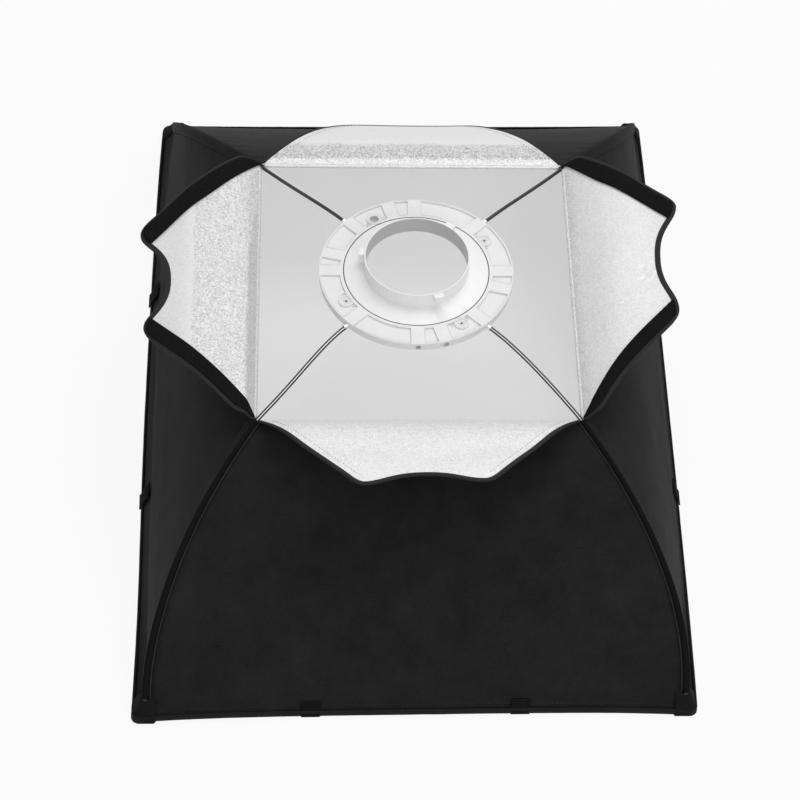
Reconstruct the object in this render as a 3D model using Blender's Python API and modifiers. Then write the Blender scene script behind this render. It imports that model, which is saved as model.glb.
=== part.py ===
# Rectangular softbox lying on its front rim, rear opening and speed ring upwards.
# Metres. Origin: centre of the front rim, on the surface it lies on. +Y along the long side.
import bpy
import bmesh
from math import atan2, asin, cos, degrees, hypot, pi, radians, sin, sqrt
from mathutils import Matrix, Vector

# Front rim and fabric
rim_width = 0.600
rim_length = 0.880
rim_corner_radius = 0.009
rim_bow = 0.0045            # the rim's sides draw in by this at their middle
belly_bow = 0.0070          # extra inward draw half way up a panel
hem_height = 0.006
hem_thickness = 0.003
fabric = 0.0013
gap = 0.0003

# Corner pockets that hold the rods' front ends
pocket_inset = 0.015
pocket_height = 0.022
pocket_drop = 0.0005        # the pocket's top lies this far under the panel's lower fold

# Speed ring
ring_radius = 0.1078
ring_inner_radius = 0.0806
ring_top = 0.2165
ring_floor = 0.2065
ring_part_line = 0.2110     # joint between housing and clamp plate, and the rods' level
ring_lip = 0.0020
ring_inner_lip = 0.0039
field_depth = 0.0016
bar_half_width = 0.0075
bar_angles = (0, 45, 90, 106.5, 135, 165, 180, 225, 270, 286.5, 315, 345)
boss_angles = (31, 210, 302, 120.5)
boss_circle = 0.0898
boss_radius = 0.0085
boss_dish_radius = 0.0062
boss_dish_depth = 0.0008
screw_head_radius = 0.0030
screw_head_height = 0.0016
screw_shank_radius = 0.0015
screw_end_margin = 0.0010   # material left under a screw hole in the clamp plate
deep_screw_head_radius = 0.0045
deep_screw_drop = 0.0028
screw_drive_depth = 0.0004
screw_drive_share = 0.5     # of the head's radius
plate_edge_step = 0.0008    # the clamp plate's rim stands in from the housing's
plate_shelf = 0.0012
plate_bore_radius = 0.0765

# Rotating insert with its collar
collar_radius = 0.0580
collar_wall = 0.0018
collar_top = 0.2399
collar_foot = 0.2215
insert_wall = 0.0020
insert_flange_overlap = 0.0047
lug_angles = (52, 172, 292)
lug_width = 0.0110
lug_reach = 0.0060
lug_height = 0.0075
lug_drop = 0.0014           # from the collar's rim down to the lug

# Rods, ferrules and end caps
rod_radius = 0.0020
rod_angle = 45
rod_rise = 1.34
rod_handle = 0.1336
corner_handle = 0.1355
corner_slope = 45.9
corner_swing = 93.1
ferrule_radius = 0.0030
ferrule_out = 0.0052
ferrule_length = 0.0237
socket_depth = 0.0193
cap_radius = 0.0030
cap_above = 0.0034
cap_below = 0.0065
cap_chamfer = 0.0009
rod_below = 0.0050
sleeve_radius = 0.0045
sleeve_clearance = 0.0004

# Rear opening and flaps
opening_height = 0.1860
flap_base_inset = 0.0050
crease_setback = 0.00045
long_flap_length = 0.1280   # left and right flaps
long_flap_notch = 0.0245
long_flap_tip_half = 0.0824
long_flap_taper = 1.055     # the sloped edge draws in by this for each unit of depth
long_flap_shoulder = 0.0450  # depth at which the sloped edge starts
long_flap_waist = 0.0165    # depth of the waist that clears the rods when the flap is closed
waist_inset = 0.0144
short_flap_length = 0.1220  # near and far flaps
short_flap_notch = 0.0120
short_flap_tip_half = 0.0705
short_flap_crease = 0.0600
left_flap_lift = 4.5
right_flap_lift = 27.0
near_flap_lift = 23.0
near_crease_lift = -8.0
far_flap_lift = -2.0
far_crease_lift = -42.0
flap_tip_cut = 0.0060       # the tips' rounding, as one short bevel
hook_tape_width = 0.0165    # square to the flap's sloped edge
hook_tape_edge = 0.0045     # from the flap's sloped edge to the tape
hook_tape_start = 0.0300
hook_tape_end = 0.0100      # from the flap's tip
tape = 0.0012

# Front diffuser, its tapes and the grid tabs
diffuser_level = 0.0280
diffuser = 0.0012
loop_tape_width = 0.0200
loop_tape_margin = 0.0120
tab_width = 0.0160
tab_low = 0.0085
tab_high = 0.0190
short_side_tab = 0.1110     # from the middle of a near or far side to each tab
long_side_tab = 0.1500

# Counts
panel_rows = 11
panel_columns = 10
flap_row_count = 4
flap_columns = 12
rod_points = 24
sleeve_points = 18
ring_steps = 72
collar_steps = 64
hole_steps = 16
boss_steps = 24
corner_steps = 6
field_step = 6.0            # degrees of arc for each side of a ring field

quadrants = (("near_left", -1, -1), ("near_right", 1, -1), ("far_left", -1, 1), ("far_right", 1, 1))
sides = ("near", "far", "left", "right")
side_turn = {"right": 0, "far": 90, "left": 180, "near": 270}

model = None
cutters = None


def clear_scene():
    for old in list(bpy.data.objects):
        bpy.data.objects.remove(old, do_unlink=True)


def new_collection(name):
    folder = bpy.data.collections.new(name)
    bpy.context.scene.collection.children.link(folder)
    return folder


def material(name, color, roughness, metallic=0.0):
    found = bpy.data.materials.get(name)
    if found:
        return found
    made = bpy.data.materials.new(name)
    made.use_nodes = True
    shader = made.node_tree.nodes["Principled BSDF"]
    shader.inputs["Base Color"].default_value = (*color, 1.0)
    shader.inputs["Roughness"].default_value = roughness
    shader.inputs["Metallic"].default_value = metallic
    made.diffuse_color = (*color, 1.0)
    return made


def black_nylon():
    return material("black_nylon", (0.018, 0.018, 0.019), 0.85)


def silver_lining():
    return material("silver_lining", (0.70, 0.70, 0.71), 0.40, 0.6)


def ring_plastic():
    return material("ring_plastic", (0.80, 0.80, 0.80), 0.45)


def insert_metal():
    return material("insert_metal", (0.78, 0.78, 0.78), 0.35, 0.2)


def rod_steel():
    return material("rod_steel", (0.03, 0.03, 0.032), 0.30, 0.8)


def bright_metal():
    return material("bright_metal", (0.75, 0.75, 0.76), 0.25, 0.9)


def cap_plastic():
    return material("cap_plastic", (0.05, 0.05, 0.05), 0.5)


def hook_tape_cloth():
    return material("hook_tape_cloth", (0.008, 0.008, 0.008), 0.95)


def diffuser_cloth():
    return material("diffuser_cloth", (0.62, 0.62, 0.62), 0.9)


def link(obj, finish):
    obj.data.materials.clear()
    obj.data.materials.append(finish)
    for folder in list(obj.users_collection):
        folder.objects.unlink(obj)
    model.objects.link(obj)
    return obj


def mesh_object(name, points, faces, finish, closed=True):
    mesh = bpy.data.meshes.new(name)
    mesh.from_pydata([tuple(p) for p in points], [], faces)
    if closed:
        work = bmesh.new()
        work.from_mesh(mesh)
        bmesh.ops.recalc_face_normals(work, faces=work.faces)
        work.to_mesh(mesh)
        work.free()
    return link(bpy.data.objects.new(name, mesh), finish)


def sheet(name, rows, thickness, finish):
    """A cloth: rows of middle-surface points, given its thickness by Solidify."""
    wide = len(rows[0])
    points = [p for row in rows for p in row]
    faces = []
    for i in range(len(rows) - 1):
        for j in range(wide - 1):
            a = i * wide + j
            faces.append((a, a + 1, a + wide + 1, a + wide))
    obj = mesh_object(name, points, faces, finish, closed=False)
    solid = obj.modifiers.new("thickness", "SOLIDIFY")
    solid.thickness = thickness
    solid.offset = 0.0
    solid.use_even_offset = True
    return smooth(obj)


def smooth(obj):
    """Smooth shading that follows the larger faces, so edges stay crisp."""
    obj.data.shade_smooth()
    weighted = obj.modifiers.new("face_weights", "WEIGHTED_NORMAL")
    weighted.mode = "FACE_AREA"
    return obj


def prism(name, lower, upper, finish):
    """A solid between two outlines with as many points each."""
    count = len(lower)
    faces = [tuple(range(count)), tuple(range(count, 2 * count))]
    for i in range(count):
        j = (i + 1) % count
        faces.append((i, j, count + j, count + i))
    return mesh_object(name, list(lower) + list(upper), faces, finish)


def turned(name, profile, steps, finish):
    """A closed (radius, height) outline, outer side first from the top, turned about Z."""
    mesh = bpy.data.meshes.new(name)
    count = len(profile)
    on_axis = [p[0] == 0 for p in profile]
    edges = [(i, (i + 1) % count) for i in range(count) if not (on_axis[i] and on_axis[(i + 1) % count])]
    mesh.from_pydata([(r, 0, z) for r, z in profile], edges, [])
    obj = link(bpy.data.objects.new(name, mesh), finish)
    spin = obj.modifiers.new("turn", "SCREW")
    spin.steps = steps
    spin.render_steps = steps
    spin.use_merge_vertices = True
    spin.merge_threshold = 0.00001
    return obj


def tube(name, path, radius, finish, wall=0.0):
    """A round rod along a path, or with a wall a hollow sleeve."""
    curve = bpy.data.curves.new(name, "CURVE")
    curve.dimensions = "3D"
    curve.bevel_depth = radius
    curve.bevel_resolution = 2
    curve.use_fill_caps = wall == 0.0
    line = curve.splines.new("POLY")
    line.points.add(len(path) - 1)
    for spot, p in zip(line.points, path):
        spot.co = (p[0], p[1], p[2], 1.0)
    obj = link(bpy.data.objects.new(name, curve), finish)
    if wall:
        solid = obj.modifiers.new("wall", "SOLIDIFY")
        solid.thickness = wall
        solid.offset = -1.0
        solid.use_even_offset = True
    return obj


def cylinder(name, radius, low, high, steps=boss_steps):
    """A plain cutter cylinder about its own Z."""
    bpy.ops.mesh.primitive_cylinder_add(vertices=steps, radius=radius, depth=high - low)
    obj = bpy.context.active_object
    obj.name = name
    obj.data.transform(Matrix.Translation((0, 0, (low + high) / 2)))
    return obj


def as_cutter(obj):
    for folder in list(obj.users_collection):
        folder.objects.unlink(obj)
    cutters.objects.link(obj)
    obj.hide_render = True
    obj.display_type = "WIRE"
    return obj


def combine(target, other, operation):
    step = target.modifiers.new(other.name, "BOOLEAN")
    step.operation = operation
    step.solver = "EXACT"
    step.object = as_cutter(other)
    return step


def along(direction):
    return Vector(direction).to_track_quat("Z", "Y").to_matrix().to_4x4()


# The corner curve: the line of a rod from its ferrule to its front pocket, in the +X +Y corner
def corner_nodes():
    start_radius = ring_radius + ferrule_out + 2 * gap
    turn = radians(rod_angle)
    start = Vector((start_radius * cos(turn), start_radius * sin(turn), ring_part_line))
    rise = radians(rod_rise)
    leave = Vector((cos(turn) * cos(rise), sin(turn) * cos(rise), sin(rise)))
    end = Vector((rim_width / 2 - pocket_inset, rim_length / 2 - pocket_inset, pocket_height))
    slope = radians(corner_slope)
    swing = radians(corner_swing)
    arrive = Vector((cos(swing) * cos(slope), sin(swing) * cos(slope), -sin(slope)))
    return start, start + leave * rod_handle, end - arrive * corner_handle, end


def corner_point(t):
    a, b, c, d = corner_nodes()
    s = 1 - t
    return a * s ** 3 + b * 3 * s * s * t + c * 3 * s * t * t + d * t ** 3


def corner_direction(t):
    a, b, c, d = corner_nodes()
    s = 1 - t
    return ((b - a) * s * s + (c - b) * 2 * s * t + (d - c) * t * t).normalized()


def t_at_height(height):
    low, high = 0.1, 1.0
    for _ in range(50):
        middle = (low + high) / 2
        if corner_point(middle).z > height:
            low = middle
        else:
            high = middle
    return (low + high) / 2


def axes_of(side):
    return (1, 0) if side in ("near", "far") else (0, 1)


def side_length(t, side):
    """Half of a panel's width at t, clear of the sleeve at the corner."""
    deep, wide = axes_of(side)
    t = min(t, 1.0)
    heading = corner_direction(t)[wide]
    return corner_point(t)[wide] - (sleeve_radius + gap) / sqrt(1 - heading * heading)


def panel_turns():
    return spread(t_at_height(opening_height), 1.0, panel_rows)


def profile_point(t, side):
    """Distance from the middle and height of a panel at t, along its flat rows; past 1 it runs to the hem."""
    deep, wide = axes_of(side)
    if t <= 1.0:
        turns = panel_turns()
        share = (t - turns[0]) / (turns[1] - turns[0])
        row = min(max(int(share), 0), panel_rows - 1)
        spot = corner_point(turns[row]).lerp(corner_point(turns[row + 1]), share - row)
        return spot[deep], spot.z
    spot = corner_point(1.0)
    foot = (rim_length if deep else rim_width) / 2 - hem_thickness / 2
    low = hem_height + gap + fabric / 2
    share = t - 1.0
    return spot[deep] + (foot - spot[deep]) * share, spot.z + (low - spot.z) * share


def profile_normal(t, side):
    step = 0.002
    d0, z0 = profile_point(t - step, side)
    d1, z1 = profile_point(t + step if t <= 1.0 - step or t > 1.0 else t, side)
    size = hypot(d1 - d0, z1 - z0)
    return -(z1 - z0) / size, (d1 - d0) / size


def bow_at(z):
    share = min(z / opening_height, 1.0)
    return rim_bow * (1 - share) + belly_bow * 4 * share * (1 - share)


def to_world(side, deep, wide, z):
    if side == "far":
        return Vector((wide, deep, z))
    if side == "near":
        return Vector((wide, -deep, z))
    if side == "right":
        return Vector((deep, wide, z))
    return Vector((-deep, wide, z))


def wall_point(side, t, lateral, offset=0.0):
    """A point of a panel's middle surface, moved outwards by offset."""
    deep, z = profile_point(t, side)
    share = lateral / side_length(t, side)
    out, up = profile_normal(t, side)
    deep = deep - bow_at(z) * (1 - share * share) + out * offset
    return to_world(side, deep, lateral, z + up * offset)


def spread(low, high, count):
    return [low + (high - low) * i / count for i in range(count + 1)]


def build_panels():
    for side in sides:
        rows = []
        for t in panel_turns() + [2.0]:
            half = side_length(t, side)
            rows.append([wall_point(side, t, x) for x in spread(-half, half, panel_columns)])
        sheet("shell_panel_" + side, rows, fabric, black_nylon())


def build_hems():
    for side in sides:
        deep, wide = axes_of(side)
        outer = (rim_length if deep else rim_width) / 2
        full = (rim_width if deep else rim_length) / 2
        half = side_length(1.0, side)
        rows = []
        for z in (0.0, hem_height):
            row = []
            for x in spread(-half, half, panel_columns):
                draw = rim_bow * (1 - (x / full) ** 2)
                row.append(to_world(side, outer - hem_thickness / 2 - draw, x, z))
            rows.append(row)
        sheet("rim_hem_" + side, rows, hem_thickness, black_nylon())


def rounded_square(x0, x1, y0, y1, radius, z, sx, sy):
    points = [(x0, y0), (x1, y0)]
    for i in range(corner_steps + 1):
        turn = pi / 2 * i / corner_steps
        points.append((x1 - radius + radius * cos(turn), y1 - radius + radius * sin(turn)))
    points.append((x0, y1))
    return [(x * sx, y * sy, z) for x, y in points]


def build_corner_pockets():
    end = corner_point(1.0)
    heading = corner_direction(1.0)
    x0 = side_length(1.0, "far") + gap
    y0 = side_length(1.0, "right") + gap
    x1 = end.x + sleeve_radius / sqrt(1 - heading.x ** 2)
    y1 = end.y + sleeve_radius / sqrt(1 - heading.y ** 2)
    top = pocket_height - pocket_drop
    for name, sx, sy in quadrants:
        lower = rounded_square(x0, rim_width / 2, y0, rim_length / 2, rim_corner_radius, 0.0, sx, sy)
        upper = rounded_square(x0, x1, y0, y1, rim_corner_radius / 2, top, sx, sy)
        pocket = prism("corner_pocket_" + name, lower, upper, black_nylon())
        bore = cylinder("pocket_bore_" + name, cap_radius + gap, -pocket_height, cap_below + gap, hole_steps)
        down = Vector((heading.x * sx, heading.y * sy, heading.z))
        bore.matrix_world = Matrix.Translation((end.x * sx, end.y * sy, end.z)) @ along(down)
        combine(pocket, bore, "DIFFERENCE")


def corner_path(first, last, count, sx, sy):
    spots = [corner_point(t) for t in spread(first, last, count)]
    return [(p.x * sx, p.y * sy, p.z) for p in spots]


def build_rods():
    turn = radians(rod_angle)
    inner = ring_radius - socket_depth + 2 * gap
    end = corner_point(1.0) + corner_direction(1.0) * rod_below
    for name, sx, sy in quadrants:
        seat = [(inner * cos(turn) * sx, inner * sin(turn) * sy, ring_part_line)]
        path = seat + corner_path(0.0, 1.0, rod_points, sx, sy) + [(end.x * sx, end.y * sy, end.z)]
        tube("rod_" + name, path, rod_radius, rod_steel())


def build_sleeves():
    heading = corner_direction(1.0)
    low = pocket_height + gap + sleeve_radius * sqrt(1 - heading.z ** 2)
    first = t_at_height(opening_height - fabric)
    last = t_at_height(low)
    bore = rod_radius + sleeve_clearance
    for name, sx, sy in quadrants:
        path = corner_path(first, last, sleeve_points, sx, sy)
        tube("corner_sleeve_" + name, path, sleeve_radius, black_nylon(), wall=sleeve_radius - bore)


def build_ferrules():
    turn = radians(rod_angle)
    start = ring_radius + ferrule_out - ferrule_length
    bore = rod_radius + gap
    outline = [(ferrule_radius, ferrule_length), (ferrule_radius, 0.0), (bore, 0.0), (bore, ferrule_length)]
    for name, sx, sy in quadrants:
        ferrule = turned("rod_ferrule_" + name, outline, hole_steps, bright_metal())
        outward = Vector((cos(turn) * sx, sin(turn) * sy, 0))
        seat = outward * start + Vector((0, 0, ring_part_line))
        ferrule.matrix_world = Matrix.Translation(seat) @ along(outward)


def build_rod_caps():
    end = corner_point(1.0)
    heading = corner_direction(1.0)
    bore = rod_radius + gap
    floor = rod_below + gap
    outline = [(0.0, cap_below), (cap_radius - cap_chamfer, cap_below), (cap_radius, cap_below - cap_chamfer),
               (cap_radius, -cap_above), (bore, -cap_above), (bore, floor), (0.0, floor)]
    for name, sx, sy in quadrants:
        cap = turned("rod_cap_" + name, outline, hole_steps, cap_plastic())
        down = Vector((heading.x * sx, heading.y * sy, heading.z))
        cap.matrix_world = Matrix.Translation((end.x * sx, end.y * sy, end.z)) @ along(down)


def field_outline(start, end, z):
    """A recessed field of the ring between two bars, as seen from above."""
    outer = ring_radius - ring_lip
    inner = ring_inner_radius + ring_inner_lip
    points = []
    for radius, order in ((outer, 1), (inner, -1)):
        first = start + degrees(asin(bar_half_width / radius))
        last = end - degrees(asin(bar_half_width / radius))
        turns = spread(first, last, max(2, round((last - first) / field_step)))
        for turn in turns[::order]:
            points.append((radius * cos(radians(turn)), radius * sin(radians(turn)), z))
    return points


def joined(objects, name):
    """One object from several cutters that don't touch."""
    work = bmesh.new()
    for obj in objects:
        part = obj.data.copy()
        part.transform(obj.matrix_basis)
        work.from_mesh(part)
        bpy.data.meshes.remove(part)
        bpy.data.objects.remove(obj)
    mesh = bpy.data.meshes.new(name)
    work.to_mesh(mesh)
    work.free()
    return link(bpy.data.objects.new(name, mesh), ring_plastic())


def ring_sockets(name):
    holes = []
    for turn in bar_angles:
        hole = cylinder("socket", ferrule_radius + gap, 0.0, socket_depth + ferrule_radius, hole_steps)
        outward = Vector((cos(radians(turn)), sin(radians(turn)), 0))
        hole.matrix_basis = Matrix.Translation(outward * (ring_radius - socket_depth)
                                               + Vector((0, 0, ring_part_line))) @ along(outward)
        holes.append(hole)
    return joined(holes, name)


def at_bosses(make, name):
    shapes = []
    for index, turn in enumerate(boss_angles):
        shape = make(index)
        shape.matrix_basis = Matrix.Translation((boss_circle * cos(radians(turn)),
                                                 boss_circle * sin(radians(turn)), 0))
        shapes.append(shape)
    return joined(shapes, name)


def is_deep(index):
    return index == len(boss_angles) - 1


def head_top(index):
    return ring_top - (deep_screw_drop if is_deep(index) else boss_dish_depth)


def head_radius(index):
    return deep_screw_head_radius if is_deep(index) else screw_head_radius


def boss_dish(index):
    radius = head_radius(index) + 2 * gap if is_deep(index) else boss_dish_radius
    return cylinder("dish", radius, head_top(index), ring_top + field_depth)


def head_recess(index):
    top = head_top(index)
    return cylinder("recess", head_radius(index) + gap, top - screw_head_height - gap, ring_top + field_depth)


def shank_hole(index):
    return cylinder("shank", screw_shank_radius + gap, ring_floor + screw_end_margin, ring_top, hole_steps)


def build_ring_housing():
    outline = [(ring_radius, ring_top), (ring_radius, ring_part_line),
               (ring_inner_radius, ring_part_line), (ring_inner_radius, ring_top)]
    housing = turned("ring_housing", outline, ring_steps, ring_plastic())
    floor = ring_top - field_depth
    fields = []
    for i, start in enumerate(bar_angles):
        end = bar_angles[(i + 1) % len(bar_angles)] + (360 if i == len(bar_angles) - 1 else 0)
        fields.append(prism("field", field_outline(start, end, floor),
                            field_outline(start, end, ring_top + field_depth), ring_plastic()))
    combine(housing, joined(fields, "ring_fields"), "DIFFERENCE")
    bosses = at_bosses(lambda i: cylinder("boss", boss_radius, ring_part_line + field_depth, ring_top), "ring_bosses")
    combine(housing, bosses, "UNION")
    combine(housing, ring_sockets("housing_sockets"), "DIFFERENCE")
    combine(housing, at_bosses(boss_dish, "boss_dishes"), "DIFFERENCE")
    combine(housing, at_bosses(head_recess, "head_recesses"), "DIFFERENCE")
    combine(housing, at_bosses(shank_hole, "housing_screw_holes"), "DIFFERENCE")
    smooth(housing)


def flange_radius():
    return ring_inner_radius + insert_flange_overlap


def build_clamp_plate():
    outer = ring_radius - plate_edge_step
    top = ring_part_line - gap
    shelf = ring_floor + plate_shelf
    seat = flange_radius() + 2 * gap
    outline = [(outer, top), (outer, ring_floor), (plate_bore_radius, ring_floor),
               (plate_bore_radius, shelf), (seat, shelf), (seat, top)]
    plate = turned("ring_clamp_plate", outline, ring_steps, ring_plastic())
    combine(plate, ring_sockets("plate_sockets"), "DIFFERENCE")
    combine(plate, at_bosses(shank_hole, "plate_screw_holes"), "DIFFERENCE")
    smooth(plate)


def build_ring_screws():
    for index, turn in enumerate(boss_angles):
        top = head_top(index)
        under = top - screw_head_height
        tip = ring_floor + screw_end_margin + gap
        head = head_radius(index)
        drive = head * screw_drive_share
        floor = top - screw_drive_depth
        outline = [(0.0, floor), (drive - screw_drive_depth, floor), (drive, top), (head, top), (head, under),
                   (screw_shank_radius, under), (screw_shank_radius, tip), (0.0, tip)]
        screw = turned("ring_screw_%d" % (index + 1), outline, hole_steps, bright_metal())
        screw.location = (boss_circle * cos(radians(turn)), boss_circle * sin(radians(turn)), 0)


def build_mount_insert():
    neck = ring_inner_radius - 2 * gap
    flange_top = ring_part_line - gap
    flange_low = ring_floor + plate_shelf + gap
    inner = collar_radius - collar_wall
    skirt = neck - insert_wall
    outline = [(collar_radius, collar_top), (collar_radius, collar_foot), (neck, ring_top), (neck, flange_top),
               (flange_radius(), flange_top), (flange_radius(), flange_low), (skirt, flange_low),
               (skirt, ring_top - insert_wall), (inner, collar_foot - insert_wall), (inner, collar_top)]
    insert = turned("mount_insert", outline, collar_steps, insert_metal())
    lugs = []
    for turn in lug_angles:
        bpy.ops.mesh.primitive_cube_add(size=1.0)
        lug = bpy.context.active_object
        low = collar_top - lug_drop - lug_height
        deep = lug_reach + collar_wall / 2
        lug.data.transform(Matrix.Diagonal((deep, lug_width, lug_height, 1.0)))
        middle = Matrix.Translation((collar_radius - collar_wall / 2 + deep / 2, 0, low + lug_height / 2))
        lug.matrix_basis = Matrix.Rotation(radians(turn), 4, "Z") @ middle
        lugs.append(lug)
    combine(insert, joined(lugs, "insert_lugs"), "UNION")
    smooth(insert)


def flap_axis(side):
    """The fold line of a flap: distance from the middle and height, just above the panel's edge."""
    t = t_at_height(opening_height)
    deep, z = profile_point(t, side)
    out, up = profile_normal(t, side)
    rise = fabric + gap
    return deep + out * rise, z + up * rise


def flap_base_half(side):
    deep, wide = axes_of(side)
    return corner_point(t_at_height(opening_height))[wide] - flap_base_inset


def short_flap_half(s, side):
    base = flap_base_half(side)
    return base + (short_flap_tip_half - base) * s / short_flap_length


def long_flap_edge(s):
    """Half of a long flap's width at depth s along its sloped edge."""
    return long_flap_tip_half + (long_flap_length - s) * long_flap_taper


def long_flap_half(s, side):
    """Half of a long flap's width at depth s: base, waist, shoulder, then the sloped edge."""
    base = flap_base_half(side)
    if s <= long_flap_waist:
        return base - waist_inset * s / long_flap_waist
    if s >= long_flap_shoulder:
        return long_flap_edge(s)
    share = (s - long_flap_waist) / (long_flap_shoulder - long_flap_waist)
    return (base - waist_inset) * (1 - share) + long_flap_edge(long_flap_shoulder) * share


def across_edge(width):
    """A width square to a long flap's sloped edge, measured along a row of the flap."""
    return width * sqrt(1 + long_flap_taper * long_flap_taper)


def edge_depth(u, length, notch):
    """Depth of a flap's hollowed outer edge at u, from -1 to 1 across it, with its tips cut."""
    return length - notch * (1 - u * u) - (flap_tip_cut if abs(u) == 1.0 else 0)


def short_flap_rows(side, first, last, shift):
    """Rows of a short flap from depth first to depth last, last None for the hollowed outer edge."""
    rows = []
    for k in range(flap_row_count + 1):
        row = []
        for u in spread(-1.0, 1.0, flap_columns):
            end = edge_depth(u, short_flap_length, short_flap_notch) if last is None else last
            s = first + (end - first) * k / flap_row_count
            row.append(Vector((s - shift, u * short_flap_half(s, side), 0.0)))
        rows.append(row)
    return rows


def long_flap_rows(side):
    rows = []
    for k in range(flap_row_count + 1):
        row = []
        for u in spread(-1.0, 1.0, flap_columns):
            end = edge_depth(u, long_flap_length, long_flap_notch)
            past_shoulder = long_flap_shoulder + (end - long_flap_shoulder) * (k - 2) / (flap_row_count - 2)
            s = (0.0, long_flap_waist)[k] if k < 2 else past_shoulder
            row.append(Vector((s, u * long_flap_half(s, side), 0.0)))
        rows.append(row)
    return rows


def place_flap(obj, side, along_flap, lift, bend):
    """Seat a flap piece on its fold line, or on its crease at along_flap with a further bend."""
    deep, z = flap_axis(side)
    deep += along_flap * cos(radians(lift))
    z += along_flap * sin(radians(lift))
    obj.location = to_world(side, deep, 0.0, z)
    obj.rotation_euler = (0, -radians(lift + bend), radians(side_turn[side]))


def build_long_flaps():
    for side, lift in (("left", left_flap_lift), ("right", right_flap_lift)):
        flap = sheet("flap_" + side, long_flap_rows(side), fabric, silver_lining())
        place_flap(flap, side, 0.0, lift, 0.0)
        for end, sign in (("a", -1), ("b", 1)):
            outer, inner = [], []
            outer_end = long_flap_length - hook_tape_end
            inner_end = outer_end - hook_tape_width / 2
            for k, share in enumerate(spread(0.0, 1.0, 3)):
                s = hook_tape_start if k == 0 else long_flap_shoulder + (outer_end - long_flap_shoulder) * (k - 1) / 2
                half = long_flap_half(s, side) - across_edge(hook_tape_edge)
                outer.append(Vector((s, half * sign, fabric / 2 + gap + tape / 2)))
                s = hook_tape_start + (inner_end - hook_tape_start) * share
                half = long_flap_edge(s) - across_edge(hook_tape_edge + hook_tape_width)
                inner.append(Vector((s, half * sign, fabric / 2 + gap + tape / 2)))
            strip = [outer, inner]
            hook = sheet("hook_tape_%s_%s" % (side, end), strip, tape, hook_tape_cloth())
            place_flap(hook, side, 0.0, lift, 0.0)


def build_short_flaps():
    for side, lift, bend in (("near", near_flap_lift, near_crease_lift), ("far", far_flap_lift, far_crease_lift)):
        inner = short_flap_rows(side, 0.0, short_flap_crease - crease_setback, 0.0)
        place_flap(sheet("flap_%s_inner" % side, inner, fabric, silver_lining()), side, 0.0, lift, 0.0)
        outer = short_flap_rows(side, short_flap_crease + crease_setback, None, short_flap_crease)
        place_flap(sheet("flap_%s_outer" % side, outer, fabric, silver_lining()), side, short_flap_crease, lift, bend)


def build_diffuser():
    t = t_at_height(diffuser_level)
    outline = []
    for side in ("far", "left", "near", "right"):
        out, up = profile_normal(t, side)
        clear = fabric / 2 + gap + diffuser / 2 * out + diffuser * up / 2
        half = side_length(t, side) - loop_tape_margin / 2
        order = (1, -1) if side in ("near", "right") else (-1, 1)
        for x in spread(-half * order[0], half * order[0], 8):
            spot = wall_point(side, t, x)
            deep = abs(spot[axes_of(side)[0]]) - clear / out
            outline.append(to_world(side, deep, x, 0.0))
    turns = [atan2(p.y, p.x) for p in outline]
    outline = [p for _, p in sorted(zip(turns, outline), key=lambda pair: pair[0])]
    low = [(p.x, p.y, diffuser_level - diffuser / 2) for p in outline]
    high = [(p.x, p.y, diffuser_level + diffuser / 2) for p in outline]
    prism("front_diffuser", low, high, diffuser_cloth())


def build_loop_tapes():
    offset = -(fabric / 2 + gap + tape / 2)
    for side in sides:
        out, up = profile_normal(t_at_height(diffuser_level), side)
        foot = diffuser_level + diffuser / 2 + gap + up * (tape / 2 + gap - offset)
        rows = []
        for t in spread(t_at_height(foot + loop_tape_width), t_at_height(foot), 2):
            half = side_length(t, side) - loop_tape_margin
            rows.append([wall_point(side, t, x, offset) for x in spread(-half, half, panel_columns)])
        sheet("loop_tape_" + side, rows, tape, hook_tape_cloth())


def build_grid_tabs():
    offset = fabric / 2 + gap + tape / 2
    foot = hem_height + gap + fabric / 2
    ends = [2.0 - (z - foot) / (pocket_height - foot) for z in (tab_high, tab_low)]
    for side in sides:
        middle = short_side_tab if side in ("near", "far") else long_side_tab
        for end, sign in (("a", -1), ("b", 1)):
            rows = []
            for t in ends:
                xs = spread(middle * sign - tab_width / 2, middle * sign + tab_width / 2, 2)
                rows.append([wall_point(side, t, x, offset) for x in xs])
            sheet("grid_tab_%s_%s" % (side, end), rows, tape, hook_tape_cloth())


def main():
    global model, cutters
    clear_scene()
    model = new_collection("softbox")
    cutters = new_collection("cutters")
    build_panels()
    build_hems()
    build_corner_pockets()
    build_rods()
    build_sleeves()
    build_ferrules()
    build_rod_caps()
    build_ring_housing()
    build_clamp_plate()
    build_ring_screws()
    build_mount_insert()
    build_long_flaps()
    build_short_flaps()
    build_diffuser()
    build_loop_tapes()
    build_grid_tabs()


main()
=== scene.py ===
# Looks of a rectangular softbox that lies on its front rim, with its rear opening and speed ring upwards.
# Metres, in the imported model's frame: +Z from the front rim to the ring, +Y along the long side.
from math import asin, cos, degrees, exp, hypot, pi, radians, sin, sqrt
import bmesh
import bpy
from mathutils import Matrix, Vector, noise


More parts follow.
